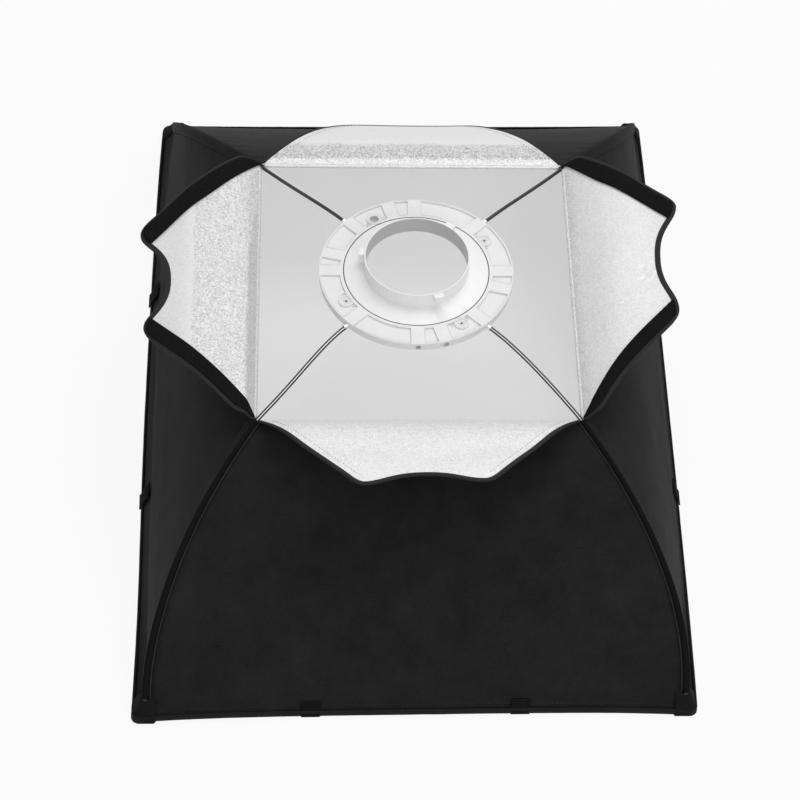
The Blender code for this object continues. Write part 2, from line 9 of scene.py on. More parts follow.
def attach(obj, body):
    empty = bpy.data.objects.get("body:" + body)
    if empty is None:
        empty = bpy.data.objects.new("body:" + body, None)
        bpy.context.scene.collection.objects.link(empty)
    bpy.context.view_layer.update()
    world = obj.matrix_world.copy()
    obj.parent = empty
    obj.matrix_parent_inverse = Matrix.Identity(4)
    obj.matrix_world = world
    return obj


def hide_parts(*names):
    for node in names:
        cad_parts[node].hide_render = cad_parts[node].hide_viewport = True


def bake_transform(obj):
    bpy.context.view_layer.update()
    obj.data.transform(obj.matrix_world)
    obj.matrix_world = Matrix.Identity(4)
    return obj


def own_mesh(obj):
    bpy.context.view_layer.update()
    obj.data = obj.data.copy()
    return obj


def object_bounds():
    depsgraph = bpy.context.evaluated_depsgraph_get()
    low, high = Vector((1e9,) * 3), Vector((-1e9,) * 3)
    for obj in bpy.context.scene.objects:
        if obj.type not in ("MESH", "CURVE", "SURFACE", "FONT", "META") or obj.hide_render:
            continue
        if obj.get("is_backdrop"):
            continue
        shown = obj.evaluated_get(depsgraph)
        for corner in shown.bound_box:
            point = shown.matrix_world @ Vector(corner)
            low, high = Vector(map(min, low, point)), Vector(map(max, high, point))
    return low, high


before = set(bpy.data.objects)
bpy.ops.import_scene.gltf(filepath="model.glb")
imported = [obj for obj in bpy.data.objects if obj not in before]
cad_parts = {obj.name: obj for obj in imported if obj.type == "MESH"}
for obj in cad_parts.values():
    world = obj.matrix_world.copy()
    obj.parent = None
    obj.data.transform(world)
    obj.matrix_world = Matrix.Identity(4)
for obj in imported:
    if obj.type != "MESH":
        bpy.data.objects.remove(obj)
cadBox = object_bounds()
scene = bpy.context.scene
scene.view_settings.view_transform = "Standard"
print("frame loaded:", len(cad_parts), "nodes")


# Camera at the photograph's viewing angle, in metres and degrees
view = {"place": (-0.1198, -2.0166, 2.4412), "pitch": 50.50, "roll": 2.595, "turn": -3.073,
        "lens": 122.31, "sensor": 36.0}


def makeCamera():
    data = bpy.data.cameras.new("camera")
    data.lens = view["lens"]
    data.sensor_width = view["sensor"]
    camera = bpy.data.objects.new("camera", data)
    scene.collection.objects.link(camera)
    camera.matrix_world = (Matrix.Translation(view["place"]) @ Matrix.Rotation(radians(view["turn"]), 4, "Z")
                           @ Matrix.Rotation(radians(90 - view["pitch"]), 4, "X")
                           @ Matrix.Rotation(radians(view["roll"]), 4, "Z"))
    scene.camera = camera


# Finishes: small helpers that add nodes to a material or a world; a bare number for a colour is a grey
finishes = {}


def rgba(color):
    return (*(color if isinstance(color, tuple) else (color, color, color)), 1.0)


def newFinish(name, color, roughness, metallic=0.0, specular=0.5):
    finish = bpy.data.materials.new(name)
    finish.use_nodes = True
    shader = finish.node_tree.nodes["Principled BSDF"]
    for key, value in (("Base Color", rgba(color)), ("Roughness", roughness), ("Metallic", metallic),
                       ("Specular IOR Level", specular)):
        shader.inputs[key].default_value = value
    finish.diffuse_color = rgba(color)
    finishes[name] = finish
    return finish, shader


def addNode(owner, kind, settings=None, inputs=None):
    node = owner.node_tree.nodes.new(kind)
    for key, value in (settings or {}).items():
        setattr(node, key, value)
    for key, value in (inputs or {}).items():
        if isinstance(value, bpy.types.NodeSocket):
            owner.node_tree.links.new(value, node.inputs[key])
        else:
            node.inputs[key].default_value = value
    return node


def addMath(owner, operation, first, second=0.0, clamp=False):
    node = addNode(owner, "ShaderNodeMath", {"operation": operation, "use_clamp": clamp}, {0: first, 1: second})
    return node.outputs[0]


def addMix(finish, share, first, second):
    node = addNode(finish, "ShaderNodeMix", {"data_type": "RGBA"}, {0: share, 6: first, 7: second})
    return node.outputs[2]


def addRamp(finish, share, stops):
    node = addNode(finish, "ShaderNodeValToRGB", None, {0: share})
    ramp = node.color_ramp
    while len(ramp.elements) < len(stops):
        ramp.elements.new(0.5)
    for element, (place, color) in zip(ramp.elements, stops):
        element.position = place
        element.color = rgba(color)
    return node.outputs[0]


def addBump(finish, shader, height, strength, distance):
    node = addNode(finish, "ShaderNodeBump", None, {"Height": height, "Strength": strength, "Distance": distance})
    finish.node_tree.links.new(node.outputs[0], shader.inputs["Normal"])


def colorBy(finish, shader, share, low, high):
    # the base colour runs from low to high with share
    finish.node_tree.links.new(addMix(finish, share, rgba(low), rgba(high)), shader.inputs["Base Color"])


def meanOf(finish, first, second):
    return addMath(finish, "MULTIPLY", addMath(finish, "ADD", first, second), 0.5)


def weigh(finish, first, firstShare, second, secondShare):
    return addMath(finish, "ADD", addMath(finish, "MULTIPLY", first, firstShare),
                   addMath(finish, "MULTIPLY", second, secondShare))


def swingOf(finish, value, size):
    # a value from 0 to 1 as a swing of that size about zero
    return addMath(finish, "MULTIPLY", addMath(finish, "SUBTRACT", value, 0.5), size)


def clothCoords(finish):
    return addNode(finish, "ShaderNodeUVMap", {"uv_map": "flat"}).outputs[0]


def spotCoords(finish):
    return addNode(finish, "ShaderNodeTexCoord").outputs["Object"]


def waveOf(finish, coords, direction, pitch, distortion, detail=1.0):
    # bands across the cloth, one every pitch
    node = addNode(finish, "ShaderNodeTexWave", {"bands_direction": direction},
                   {"Vector": coords, "Scale": pi / 10 / pitch, "Distortion": distortion, "Detail": detail})
    return node.outputs["Fac"]


def threadHeight(finish, coords, pitch):
    # two crossed bands of threads
    return meanOf(finish, *(waveOf(finish, coords, direction, pitch, 0.6) for direction in ("X", "Y")))


def noiseOf(finish, coords, scale, detail=3.0, roughness=0.5):
    node = addNode(finish, "ShaderNodeTexNoise", None,
                   {"Vector": coords, "Scale": scale, "Detail": detail, "Roughness": roughness})
    return node.outputs["Fac"]


def cellsOf(finish, coords, size):
    # a random value from 0 to 1 for each cell of about that size
    node = addNode(finish, "ShaderNodeTexVoronoi", None, {"Vector": coords, "Scale": 1 / size})
    return addNode(finish, "ShaderNodeSeparateColor", None, {0: node.outputs["Color"]}).outputs[0]


nylon = {"dark": (0.0080, 0.0080, 0.0082), "light": (0.0260, 0.0260, 0.0264), "pitch": 0.0009, "roughness": 0.6,
         "specular": 0.03, "clouds": 0.7, "threads": 0.25, "fuzz": 1.3, "streaks": 0.9}


def makeNylon():
    finish, shader = newFinish("blackNylon", nylon["dark"], nylon["roughness"], specular=nylon["specular"])
    coords = clothCoords(finish)
    threads = threadHeight(finish, coords, nylon["pitch"])
    share = weigh(finish, noiseOf(finish, coords, 9.0, 4.0), nylon["clouds"], threads, nylon["threads"])
    fuzz = swingOf(finish, noiseOf(finish, coords, 650.0, 2.0, 0.7), nylon["fuzz"])
    streaks = swingOf(finish, noiseOf(finish, coords, 34.0, 5.0, 0.65), nylon["streaks"])
    share = addMath(finish, "ADD", share, addMath(finish, "ADD", fuzz, streaks), True)
    colorBy(finish, shader, share, nylon["dark"], nylon["light"])
    addBump(finish, shader, threads, 0.35, 0.00025)


# Silver linings
# zones: (distance from the fold, glitter, tone with painted shade); they reach to depth, and slant draws them in at
# one end
lining = {"grain": 0.0010, "coarse": 0.0016, "roughness": 0.5, "metallic": 0.15, "contrast": 0.70, "wander": 0.006,
          "margin": 0.01, "slantFrom": 0.03, "slantOver": 0.15, "foldReach": 0.060, "foldFade": 0.03}
# the darker tones at and just past the fold, the far flap's dark band among them, are painted shade of the fold;
# further out the tones vary with the zones of glitter; slant narrows the left flap's painted fold shade towards its
# far end
linings = {
    "Left": {"zones": ((-0.008, 0.2, 0.64), (0.0, 0.45, 0.62), (0.016, 0.6, 0.62), (0.019, 0.85, 0.72),
                       (0.077, 0.85, 0.74), (0.079, 0.25, 0.80), (0.110, 0.25, 0.80)), "depth": 0.13, "slant": 0.022},
    "Right": {"zones": ((-0.008, 0.2, 0.62), (0.0, 0.6, 0.72), (0.007, 0.6, 0.79), (0.016, 0.4, 0.86),
                        (0.06, 0.35, 0.84), (0.110, 0.3, 0.76)), "depth": 0.13, "slant": 0.0},
    "Near": {"zones": ((-0.008, 0.2, 0.60), (0.0, 0.3, 0.78), (0.015, 0.5, 0.84), (0.060, 0.5, 0.87),
                       (0.110, 0.4, 0.88)), "depth": 0.13, "slant": 0.0},
    "Far": {"zones": ((-0.008, 0.2, 0.60), (0.0, 0.5, 0.80), (0.008, 0.9, 0.80), (0.012, 1.0, 0.58),
                      (0.030, 0.8, 0.66), (0.036, 0.1, 0.82)), "depth": 0.13, "slant": 0.0},
    "Inside": {"zones": ((0.0, 0.3, 0.82), (0.12, 0.3, 0.82)), "depth": 5.0, "slant": 0.0}}


def makeLining(name, zones, depth, slant):
    finish, shader = newFinish(name, 0.8, lining["roughness"], lining["metallic"])
    coords = clothCoords(finish)
    flat = addNode(finish, "ShaderNodeSeparateXYZ", None, {0: coords}).outputs
    drawn = addMath(finish, "SUBTRACT", flat[0], lining["slantFrom"])
    drawn = addMath(finish, "MULTIPLY", addMath(finish, "DIVIDE", drawn, lining["slantOver"], True), slant)
    nearFold = addMath(finish, "SUBTRACT", lining["foldReach"], flat[1])
    nearFold = addMath(finish, "DIVIDE", nearFold, lining["foldFade"], True)
    along = addMath(finish, "ADD", flat[1], addMath(finish, "MULTIPLY", drawn, nearFold))
    wander = swingOf(finish, noiseOf(finish, coords, 45.0), lining["wander"])
    share = addMath(finish, "ADD", addMath(finish, "ADD", along, wander), lining["margin"])
    stops = [((place + lining["margin"]) / depth, (glitter, toneAndShade, 0.0)) for place, glitter, toneAndShade in zones]
    ramp = addRamp(finish, addMath(finish, "DIVIDE", share, depth), stops)
    glitter, toneAndShade = addNode(finish, "ShaderNodeSeparateColor", None, {0: ramp}).outputs[:2]
    fine, coarse = cellsOf(finish, coords, lining["grain"]), cellsOf(finish, coords, lining["coarse"])
    grain = weigh(finish, fine, 0.55, coarse, 0.45)
    shine = addMath(finish, "MULTIPLY", swingOf(finish, grain, lining["contrast"]), glitter)
    # the tone here carries the painted shade of the fold
    tint = addMath(finish, "ADD", toneAndShade, shine, True)
    color = addNode(finish, "ShaderNodeCombineColor", None, {0: tint, 1: tint, 2: tint})
    finish.node_tree.links.new(color.outputs[0], shader.inputs["Base Color"])
    addBump(finish, shader, grain, addMath(finish, "MULTIPLY", glitter, 0.8, True), 0.0006)


# Plain finishes
# grain: the noise's scale, detail and roughness; tones: what it runs between; fine: a grain for the bump alone
wornCloth = {"roughness": 0.75, "specular": 0.08, "grain": (420.0, 3.0, 0.7), "bump": (0.3, 0.0003)}
plainFinishes = {
    # darker cloth where the corner seams sink and tuck under: painted shade
    "seamShadeCloth": {**wornCloth, "color": 0.002, "tones": (0.002, 0.006)},
    # the welt's lighter tone is a painted highlight line along each corner seam
    "welt": {**wornCloth, "color": 0.022, "tones": (0.022, 0.042)},
    "pocketCloth": {**wornCloth, "color": 0.004, "tones": (0.004, 0.012)},
    "sewingThread": {"color": 0.02, "roughness": 0.6, "grain": (900.0,), "tones": (0.012, 0.035)},
    "springSteel": {"color": (0.02, 0.02, 0.021), "roughness": 0.25, "specular": 0.45, "grain": (120.0, 4.0),
                    "tones": (0.012, (0.03, 0.03, 0.031)), "bump": (0.05, 0.0003)},
    # a light steel for the strip along the near rods: a painted highlight
    "paintedHighlightSteel": {"color": 0.84, "roughness": 0.3, "metallic": 0.2, "grain": (160.0, 4.0), "tones": (0.74, 0.92)},
    "screwHead": {"color": 0.60, "roughness": 0.45, "metallic": 0.4, "grain": (900.0, 2.0), "tones": (0.52, 0.68),
                  "bump": (0.15, 0.0002)},
    "brightMetal": {"color": (0.86, 0.86, 0.87), "roughness": 0.25, "metallic": 0.9, "grain": (700.0, 2.0),
                    "tones": (0.8, (0.92, 0.92, 0.93)), "bump": (0.1, 0.0002)},
    "darkScrew": {"color": 0.42, "roughness": 0.5, "metallic": 0.2, "grain": (600.0, 2.0), "tones": (0.30, 0.52),
                  "bump": (0.3, 0.0004)},
    "capPlastic": {"color": 0.03, "roughness": 0.5, "grain": (900.0,), "bump": (0.1, 0.0002)},
    "ringPlastic": {"color": 0.84, "roughness": 0.42, "grain": (160.0, 4.0), "tones": (0.80, 0.88),
                    "fine": (1400.0, 2.0), "bump": (0.12, 0.0003)}}
weave = {"hookRows": 0.0022, "hookCell": 0.0009, "ribs": 0.0011, "diffuser": 0.0011}
boreShadeReach = 0.0566  # reach of the insert's bore, darkened with painted shade


def makePlain(name, form):
    finish, shader = newFinish(name, form["color"], form["roughness"], form.get("metallic", 0.0),
                               form.get("specular", 0.5))
    coords = spotCoords(finish)
    grain = noiseOf(finish, coords, *form["grain"])
    if "tones" in form:
        colorBy(finish, shader, grain, *form["tones"])
    if "bump" in form:
        addBump(finish, shader, noiseOf(finish, coords, *form["fine"]) if "fine" in form else grain, *form["bump"])


def makeFinishes():
    makeNylon()
    for name, form in linings.items():
        makeLining("lining" + name, form["zones"], form["depth"], form["slant"])
    for name, form in plainFinishes.items():
        makePlain(name, form)

    tape, shader = newFinish("hookTape", 0.004, 0.95, specular=0.05)
    coords = clothCoords(tape)
    hooks = meanOf(tape, cellsOf(tape, coords, weave["hookCell"]), waveOf(tape, coords, "Y", weave["hookRows"], 0.8))
    colorBy(tape, shader, hooks, 0.0020, (0.0165, 0.0165, 0.0168))
    addBump(tape, shader, hooks, 0.6, 0.0005)

    edge, shader = newFinish("edgeBinding", 0.008, 0.7, specular=0.22)
    ribs = waveOf(edge, clothCoords(edge), "Y", weave["ribs"], 0.4, 2.0)
    colorBy(edge, shader, ribs, 0.010, 0.020)
    addBump(edge, shader, ribs, 0.5, 0.0003)

    cloth, shader = newFinish("diffuserCloth", 0.86, 0.8, specular=0.3)
    coords = clothCoords(cloth)
    colorBy(cloth, shader, noiseOf(cloth, coords, 5.0), 0.82, 0.90)
    addBump(cloth, shader, threadHeight(cloth, coords, weave["diffuser"]), 0.3, 0.0003)
    glow = addNode(cloth, "ShaderNodeBsdfTranslucent", None, {"Color": rgba(0.80)})
    veil = addNode(cloth, "ShaderNodeMixShader", None, {0: 0.8, 1: shader.outputs[0], 2: glow.outputs[0]})
    cloth.node_tree.links.new(veil.outputs[0], cloth.node_tree.nodes["Material Output"].inputs["Surface"])

    paint, shader = newFinish("insertPaintAndBoreShade", 0.86, 0.33)
    coords = spotCoords(paint)
    cloudy = noiseOf(paint, coords, 90.0)
    # inside the collar's bore the paint turns a darker grey: painted shade
    place = addNode(paint, "ShaderNodeSeparateXYZ", None, {0: coords}).outputs
    squares = [addMath(paint, "POWER", place[k], 2.0) for k in (0, 1)]
    inside = addMath(paint, "LESS_THAN", addMath(paint, "SQRT", addMath(paint, "ADD", *squares)), boreShadeReach)
    outer, boreShadeTone = addMix(paint, cloudy, rgba(0.89), rgba(0.94)), addMix(paint, cloudy, rgba(0.50), rgba(0.58))
    paint.node_tree.links.new(addMix(paint, inside, outer, boreShadeTone), shader.inputs["Base Color"])
    addBump(paint, shader, noiseOf(paint, coords, 1100.0, 2.0), 0.08, 0.0002)
    print("finishes made:", len(finishes))


# Pieces: every mesh carries a map named flat, in metres along the cloth
def newPiece(name, points, faces, corners, finishes, faceFinish=None, closed=False):
    mesh = bpy.data.meshes.new(name)
    mesh.from_pydata([tuple(p) for p in points], [], faces)
    layer = mesh.uv_layers.new(name="flat")
    layer.data.foreach_set("uv", [v for face in corners for uv in face for v in uv])
    for finish in finishes:
        mesh.materials.append(finish)
    if faceFinish:
        mesh.polygons.foreach_set("material_index", faceFinish)
    if closed:
        work = bmesh.new()
        work.from_mesh(mesh)
        bmesh.ops.recalc_face_normals(work, faces=work.faces)
        work.to_mesh(mesh)
        work.free()
    mesh.shade_smooth()
    piece = bpy.data.objects.new(name, mesh)
    scene.collection.objects.link(piece)
    return piece


def clothGrid(name, rows, flats, finishes, thickness, offset=-1.0, flip=False):
    # a sheet from rows of points; its first finish is on the side of the normals
    wide = len(rows[0])
    faces, corners = [], []
    for i in range(len(rows) - 1):
        for j in range(wide - 1):
            loop = [(i, j), (i, j + 1), (i + 1, j + 1), (i + 1, j)]
            if flip:
                loop.reverse()
            faces.append([a * wide + b for a, b in loop])
            corners.append([flats[a][b] for a, b in loop])
    piece = newPiece(name, [p for row in rows for p in row], faces, corners, finishes)
    solid = piece.modifiers.new("thickness", "SOLIDIFY")
    solid.thickness = thickness
    solid.offset = offset
    solid.use_even_offset = True
    if len(finishes) > 1:
        solid.material_offset = 1
    return piece


def loft(name, rings, finishes, ringFinish=None, closedPath=False):
    # a closed skin through rings of points; ringFinish gives each ring segment's finish
    count, total = len(rings[0]), len(rings)
    around = [0.0]
    for j in range(count):
        around.append(around[-1] + (rings[0][(j + 1) % count] - rings[0][j]).length)
    along = [0.0]
    for i in range(total):
        along.append(along[-1] + (rings[(i + 1) % total][0] - rings[i][0]).length)
    faces, corners, chosen = [], [], []
    for i in range(total if closedPath else total - 1):
        k = (i + 1) % total
        for j in range(count):
            n = (j + 1) % count
            faces.append([i * count + j, i * count + n, k * count + n, k * count + j])
            corners.append([(around[j], along[i]), (around[j + 1], along[i]),
                            (around[j + 1], along[i + 1]), (around[j], along[i + 1])])
            chosen.append(ringFinish[j] if ringFinish else 0)
    if not closedPath:
        for start in (0, (total - 1) * count):
            faces.append(list(range(start, start + count)))
            corners.append([(around[j], 0.0) for j in range(count)])
            chosen.append(0)
    return newPiece(name, [p for ring in rings for p in ring], faces, corners, finishes, chosen, closed=True)


def ringOf(middle, side, up, radius, count):
    # points round a middle, from side towards up
    return [middle + (side * cos(2 * pi * k / count) + up * sin(2 * pi * k / count)) * radius for k in range(count)]


def signedPower(x, power):
    return abs(x) ** power * (1 if x > 0 else -1)


def cordOn(name, path, radius, finish, sides=8, closedPath=False):
    # a round cord through the points of a path
    rings = []
    total = len(path)
    for i, p in enumerate(path):
        before = path[(i - 1) % total] if closedPath or i else path[0]
        after = path[(i + 1) % total] if closedPath or i < total - 1 else path[-1]
        heading = (after - before).normalized()
        side = heading.cross(Vector((0, 0, 1)))
        side = side.normalized() if side.length > 0.01 else Vector((1, 0, 0))
        up = side.cross(heading)
        rings.append(ringOf(p, side, up, radius, sides))
    return loft(name, rings, [finish], closedPath=closedPath)


def spread(low, high, count):
    return [low + (high - low) * i / count for i in range(count + 1)]


def easeOver(x, low, high):
    share = min(max((x - low) / (high - low), 0.0), 1.0)
    return share * share * (3 - 2 * share)


# The shell's curve: the part's own dimensions
shell = {"width": 0.600, "length": 0.880, "rimCorner": 0.009, "hemThick": 0.003, "pocketInset": 0.015,
         "pocketHeight": 0.022, "opening": 0.1860, "ringRadius": 0.1078, "rodLevel": 0.2110, "rodReach": 0.0058,
         "rodAngle": 45, "rodRise": 1.34, "rodHandle": 0.1336, "cornerHandle": 0.1355, "cornerSlope": 45.9,
         "cornerSwing": 93.1, "footLevel": 0.0040}
sides = ("near", "far", "left", "right")
flippedSides = ("near", "right")  # their rows run the other way round
quadrants = (("near_left", -1, -1), ("near_right", 1, -1), ("far_left", -1, 1), ("far_right", 1, 1))


def cornerNodes():
    turn, rise = radians(shell["rodAngle"]), radians(shell["rodRise"])
    reach = shell["ringRadius"] + shell["rodReach"]
    start = Vector((reach * cos(turn), reach * sin(turn), shell["rodLevel"]))
    leave = Vector((cos(turn) * cos(rise), sin(turn) * cos(rise), sin(rise)))
    end = Vector((shell["width"] / 2 - shell["pocketInset"], shell["length"] / 2 - shell["pocketInset"],
                  shell["pocketHeight"]))
    slope, swing = radians(shell["cornerSlope"]), radians(shell["cornerSwing"])
    arrive = Vector((cos(swing) * cos(slope), sin(swing) * cos(slope), -sin(slope)))
    return start, start + leave * shell["rodHandle"], end - arrive * shell["cornerHandle"], end


curveNodes = cornerNodes()


def cornerPoint(t):
    a, b, c, d = curveNodes
    s = 1 - t
    return a * s ** 3 + b * 3 * s * s * t + c * 3 * s * t * t + d * t ** 3


def turnAtHeight(height):
    low, high = 0.1, 1.0
    for _ in range(40):
        middle = (low + high) / 2
        low, high = (middle, high) if cornerPoint(middle).z > height else (low, middle)
    return (low + high) / 2


openTurn = turnAtHeight(shell["opening"])


def axesOf(side):
    return (1, 0) if side in ("near", "far") else (0, 1)  # which way its depth runs, and its width


def toWorld(side, deep, wide, z):
    return Vector({"far": (wide, deep, z), "near": (wide, -deep, z),
                   "right": (deep, wide, z), "left": (-deep, wide, z)}[side])


def profileAt(side, t):
    # distance from the middle and height of a panel; past 1 it runs down into the hem
    deep = axesOf(side)[0]
    if t <= 1.0:
        spot = cornerPoint(t)
        return spot[deep], spot.z
    spot = cornerPoint(1.0)
    foot = (shell["length"] if deep else shell["width"]) / 2 - shell["hemThick"] / 2
    return spot[deep] + (foot - spot[deep]) * (t - 1), spot.z + (shell["footLevel"] - spot.z) * (t - 1)


def outwardAt(side, t):
    low, high = (t - 0.002, t) if 0.998 < t <= 1.0 else (t, t + 0.002)
    (d0, z0), (d1, z1) = profileAt(side, low), profileAt(side, high)
    size = hypot(d1 - d0, z1 - z0)
    return -(z1 - z0) / size, (d1 - d0) / size


def halfAt(side, t):
    return cornerPoint(min(t, 1.0))[axesOf(side)[1]]


def tableAt(table, x, column=1):
    # a smooth curve through the rows of a table, first column against another
    i = 0
    while i < len(table) - 2 and x > table[i + 1][0]:
        i += 1
    x0, x1, y0, y1 = table[i][0], table[i + 1][0], table[i][column], table[i + 1][column]
    chord = (y1 - y0) / (x1 - x0)
    before = (y1 - table[i - 1][column]) / (x1 - table[i - 1][0]) if i else chord
    after = (table[i + 2][column] - y0) / (table[i + 2][0] - x0) if i < len(table) - 2 else chord
    f = min(max((x - x0) / (x1 - x0), 0.0), 1.0)
    g, run = 1 - f, x1 - x0
    return (y0 * (1 + 2 * f) * g * g + before * run * f * g * g + y1 * (3 - 2 * f) * f * f - after * run * f * f * g)


# The sewn bag's own unevenness
# at each corner (height, x, y), and outward at the middle of each side (height, amount)
drift = {"near_left": ((0.004, -0.0045, -0.0115), (0.030, -0.0040, -0.0090), (0.100, 0.0005, 0.0),
                       (0.186, 0.0, -0.0022), (0.210, 0.0, 0.0)),
         "near_right": ((0.004, -0.0030, -0.0020), (0.030, -0.0010, -0.0015), (0.100, 0.0010, 0.0),
                        (0.186, 0.0, 0.0)),
         "far_left": ((0.004, -0.0027, -0.0070), (0.030, -0.0012, -0.0060), (0.100, 0.0, 0.0), (0.186, 0.0, 0.0)),
         "far_right": ((0.004, -0.0008, -0.0012), (0.030, 0.0004, -0.0010), (0.100, 0.0, 0.0), (0.186, 0.0, 0.0))}
# where a rod's end pushes the cloth out at a far corner: x, y, and the height and reach of the bulge
horn = {"far_left": (0.0004, 0.0018), "far_right": (0.0026, 0.0012), "height": 0.0225, "reach": 0.0110,
        "share": 0.93}
bowed = ((0.051, -0.0010), (0.079, -0.0062), (0.120, -0.0060), (0.186, 0.0))
belly = {"left": ((0.004, 0.0036), (0.022, 0.0085), *bowed), "right": ((0.004, 0.0023), (0.022, 0.0075), *bowed),
         "near": ((0.004, -0.0056), (0.022, -0.0050), (0.079, -0.0055), (0.120, -0.0050), (0.186, 0.0)),
         "far": ((0.004, -0.0020), (0.022, -0.0062), (0.079, -0.0072), (0.120, -0.0060), (0.186, 0.0))}
dents = {"left": (-0.70, 0.42, -0.0036)}  # share along the side, reach, outward amount
endsOf = {"near": ("near_left", "near_right"), "far": ("far_left", "far_right"),
          "left": ("near_left", "far_left"), "right": ("near_right", "far_right")}


def cornerDrift(name, z, share=1.0):
    x, y = horn.get(name, (0.0, 0.0))
    bulge = exp(-((z - horn["height"]) / horn["reach"]) ** 2) * easeOver(share, horn["share"], 1.0)
    return Vector((tableAt(drift[name], z) + x * bulge, tableAt(drift[name], z, 2) + y * bulge, 0.0))


def sideDrift(side, share, z):
    first, last = endsOf[side]
    outward = tableAt(belly[side], z) * (1 - share ** 4)
    if side in dents:
        at, reach, amount = dents[side]
        outward += amount * exp(-((share - at) / reach) ** 2) * (1 - share ** 8) * (1 - easeOver(z, 0.02, 0.06))
    return (cornerDrift(first, z, -share).lerp(cornerDrift(last, z, share), (1 + share) / 2)
            + toWorld(side, outward, 0.0, 0.0))


def skinPoint(side, t, across, offset=0.0):
    deep, z = profileAt(side, t)
    out, up = outwardAt(side, t)
    share = min(max(across / halfAt(side, t), -1.0), 1.0)
    return toWorld(side, deep + out * offset, across, z + up * offset) + sideDrift(side, share, z)


def openDrift(side, across):
    # the same unevenness at the opening's edge
    return sideDrift(side, min(max(across / halfAt(side, openTurn), -1.0), 1.0), shell["opening"])


# Stitches are gathered for each body and made into one mesh at the end
stitch = {"pitch": 0.0042, "length": 0.0030, "width": 0.00055, "height": 0.00030}
stitches = {}


def sewLine(carrier, points, normals):
    spots = stitches.setdefault(carrier, [])
    left = 0.0
    for i in range(len(points) - 1):
        a, b = points[i], points[i + 1]
        run = (b - a).length
        while left < run:
            spots.append((a.lerp(b, left / run), (b - a).normalized(), normals[i]))
            left += stitch["pitch"]
        left -= run


def makeStitches():
    for carrier, spots in stitches.items():
        points, faces, corners = [], [], []
        for spot, heading, normal in spots:
            side = heading.cross(normal).normalized() * stitch["width"] / 2
            reach, lift = heading * stitch["length"] / 2, normal * stitch["height"]
            base = len(points)
            points += [spot - reach, spot + reach, spot + side, spot - side, spot + lift, spot - lift]
            for a, b, c in ((0, 2, 4), (2, 1, 4), (1, 3, 4), (3, 0, 4), (2, 0, 5), (1, 2, 5), (3, 1, 5), (0, 3, 5)):
                faces.append([base + a, base + b, base + c])
                corners.append([(0, 0), (0.001, 0), (0, 0.001)])
        piece = newPiece("thread_" + carrier, points, faces, corners, [finishes["sewingThread"]], closed=True)
        hold(piece, carrier)
    print("stitches:", sum(len(spots) for spots in stitches.values()))


# Corner seams: a sewn sleeve on the long panels holds the rod, with a sunken groove in darker cloth that is painted
# shade, and a thin welt beside it whose lighter tone is a painted highlight line
seam = {"rings": 60, "welt": 0.0008, "weltLift": 0.0006, "sewIn": 0.0138, "sewLift": 0.0016, "overlap": 0.0004,
        "edge": {"near_left": 0.0052, "near_right": 0.0048, "far_left": 0.0048, "far_right": 0.0048},
        "outer": (("long", 0.0162, -0.0002, "seamShadeCloth"), ("long", 0.0150, 0.0012, "nylon"),
                  ("long", 0.0112, 0.0018, "nylon"), ("long", 0.0075, 0.0031, "nylon"),
                  ("long", 0.0056, 0.0028, "nylon"), ("long", 0.0030, 0.0036, "nylon"),
                  ("both", 0.0045, 0.0, "seamShadeCloth"),
                  ("short", 0.0022, 0.0032, "seamShadeCloth"), ("edge", -0.0014, 0.0010, "seamShadeCloth"),
                  ("edge", 0.0006, -0.0004, "inside")),
        "inner": (("edge", 0.0010, -0.0018, "inside"), ("both", -0.0034, 0.0, "inside"),
                  ("long", 0.0050, -0.0016, "inside"), ("long", 0.0148, -0.0018, "seamShadeCloth"))}

# Outer shell: four bowed cloth panels with a silver inside
panel = {"rows": 46, "columns": 60, "footRows": 5, "seamGap": 0.0040, "pucker": 0.0006, "puckerPitch": 0.021,
         "puckerReach": 0.020, "wave": 0.0011, "run": 0.42, "thickness": 0.0011}


def panelRipple(side, t, across):
    # small gathers along the seams and slow waves over the cloth
    half = halfAt(side, t)
    fromSeam = half - abs(across)
    along = t * panel["run"]
    shift = 3 * noise.noise(Vector((along * 9, 1.7, 0)))
    gather = panel["pucker"] * exp(-fromSeam / panel["puckerReach"])
    gather *= sin(2 * pi * along / panel["puckerPitch"] + shift)
    seed = sides.index(side) * 7.3
    wave = panel["wave"] * noise.noise(Vector((across * 7, along * 11, seed)))
    wave += 0.4 * panel["wave"] * noise.noise(Vector((across * 19, along * 23, seed + 5)))
    fade = min(fromSeam / 0.02, 1.0) * min(max((t - openTurn) / 0.03, 0.0), 1.0)
    fade *= min(max((1.85 - t) / 0.5, 0.0), 1.0)
    return (gather * min(fromSeam / 0.004, 1.0) + wave * fade) * (1.0 if t < 1.6 else 0.3)


def makePanels():
    for side in sides:
        turns = spread(openTurn, 1.0, panel["rows"]) + spread(1.0, 2.0, panel["footRows"])[1:]
        rows, flats, run = [], [], 0.0
        for i, t in enumerate(turns):
            half = halfAt(side, t)
            first, last = ((seam["edge"][end] - seam["overlap"] for end in endsOf[side]) if side in ("near", "far")
                           else (panel["seamGap"], panel["seamGap"]))
            across = spread(-half + first, half - last, panel["columns"])
            rows.append([skinPoint(side, t, x, panelRipple(side, t, x)) for x in across])
            middle = len(rows[0]) // 2
            run += (rows[i][middle] - rows[i - 1][middle]).length if i else 0.0
            flats.append([(x, run) for x in across])
        piece = clothGrid("cloth_panel_" + side, rows, flats, [finishes["blackNylon"], finishes["liningInside"]],
                          panel["thickness"], flip=side in flippedSides)
        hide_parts("shell_panel_" + side)
        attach(piece, "shell")
    print("panels made")


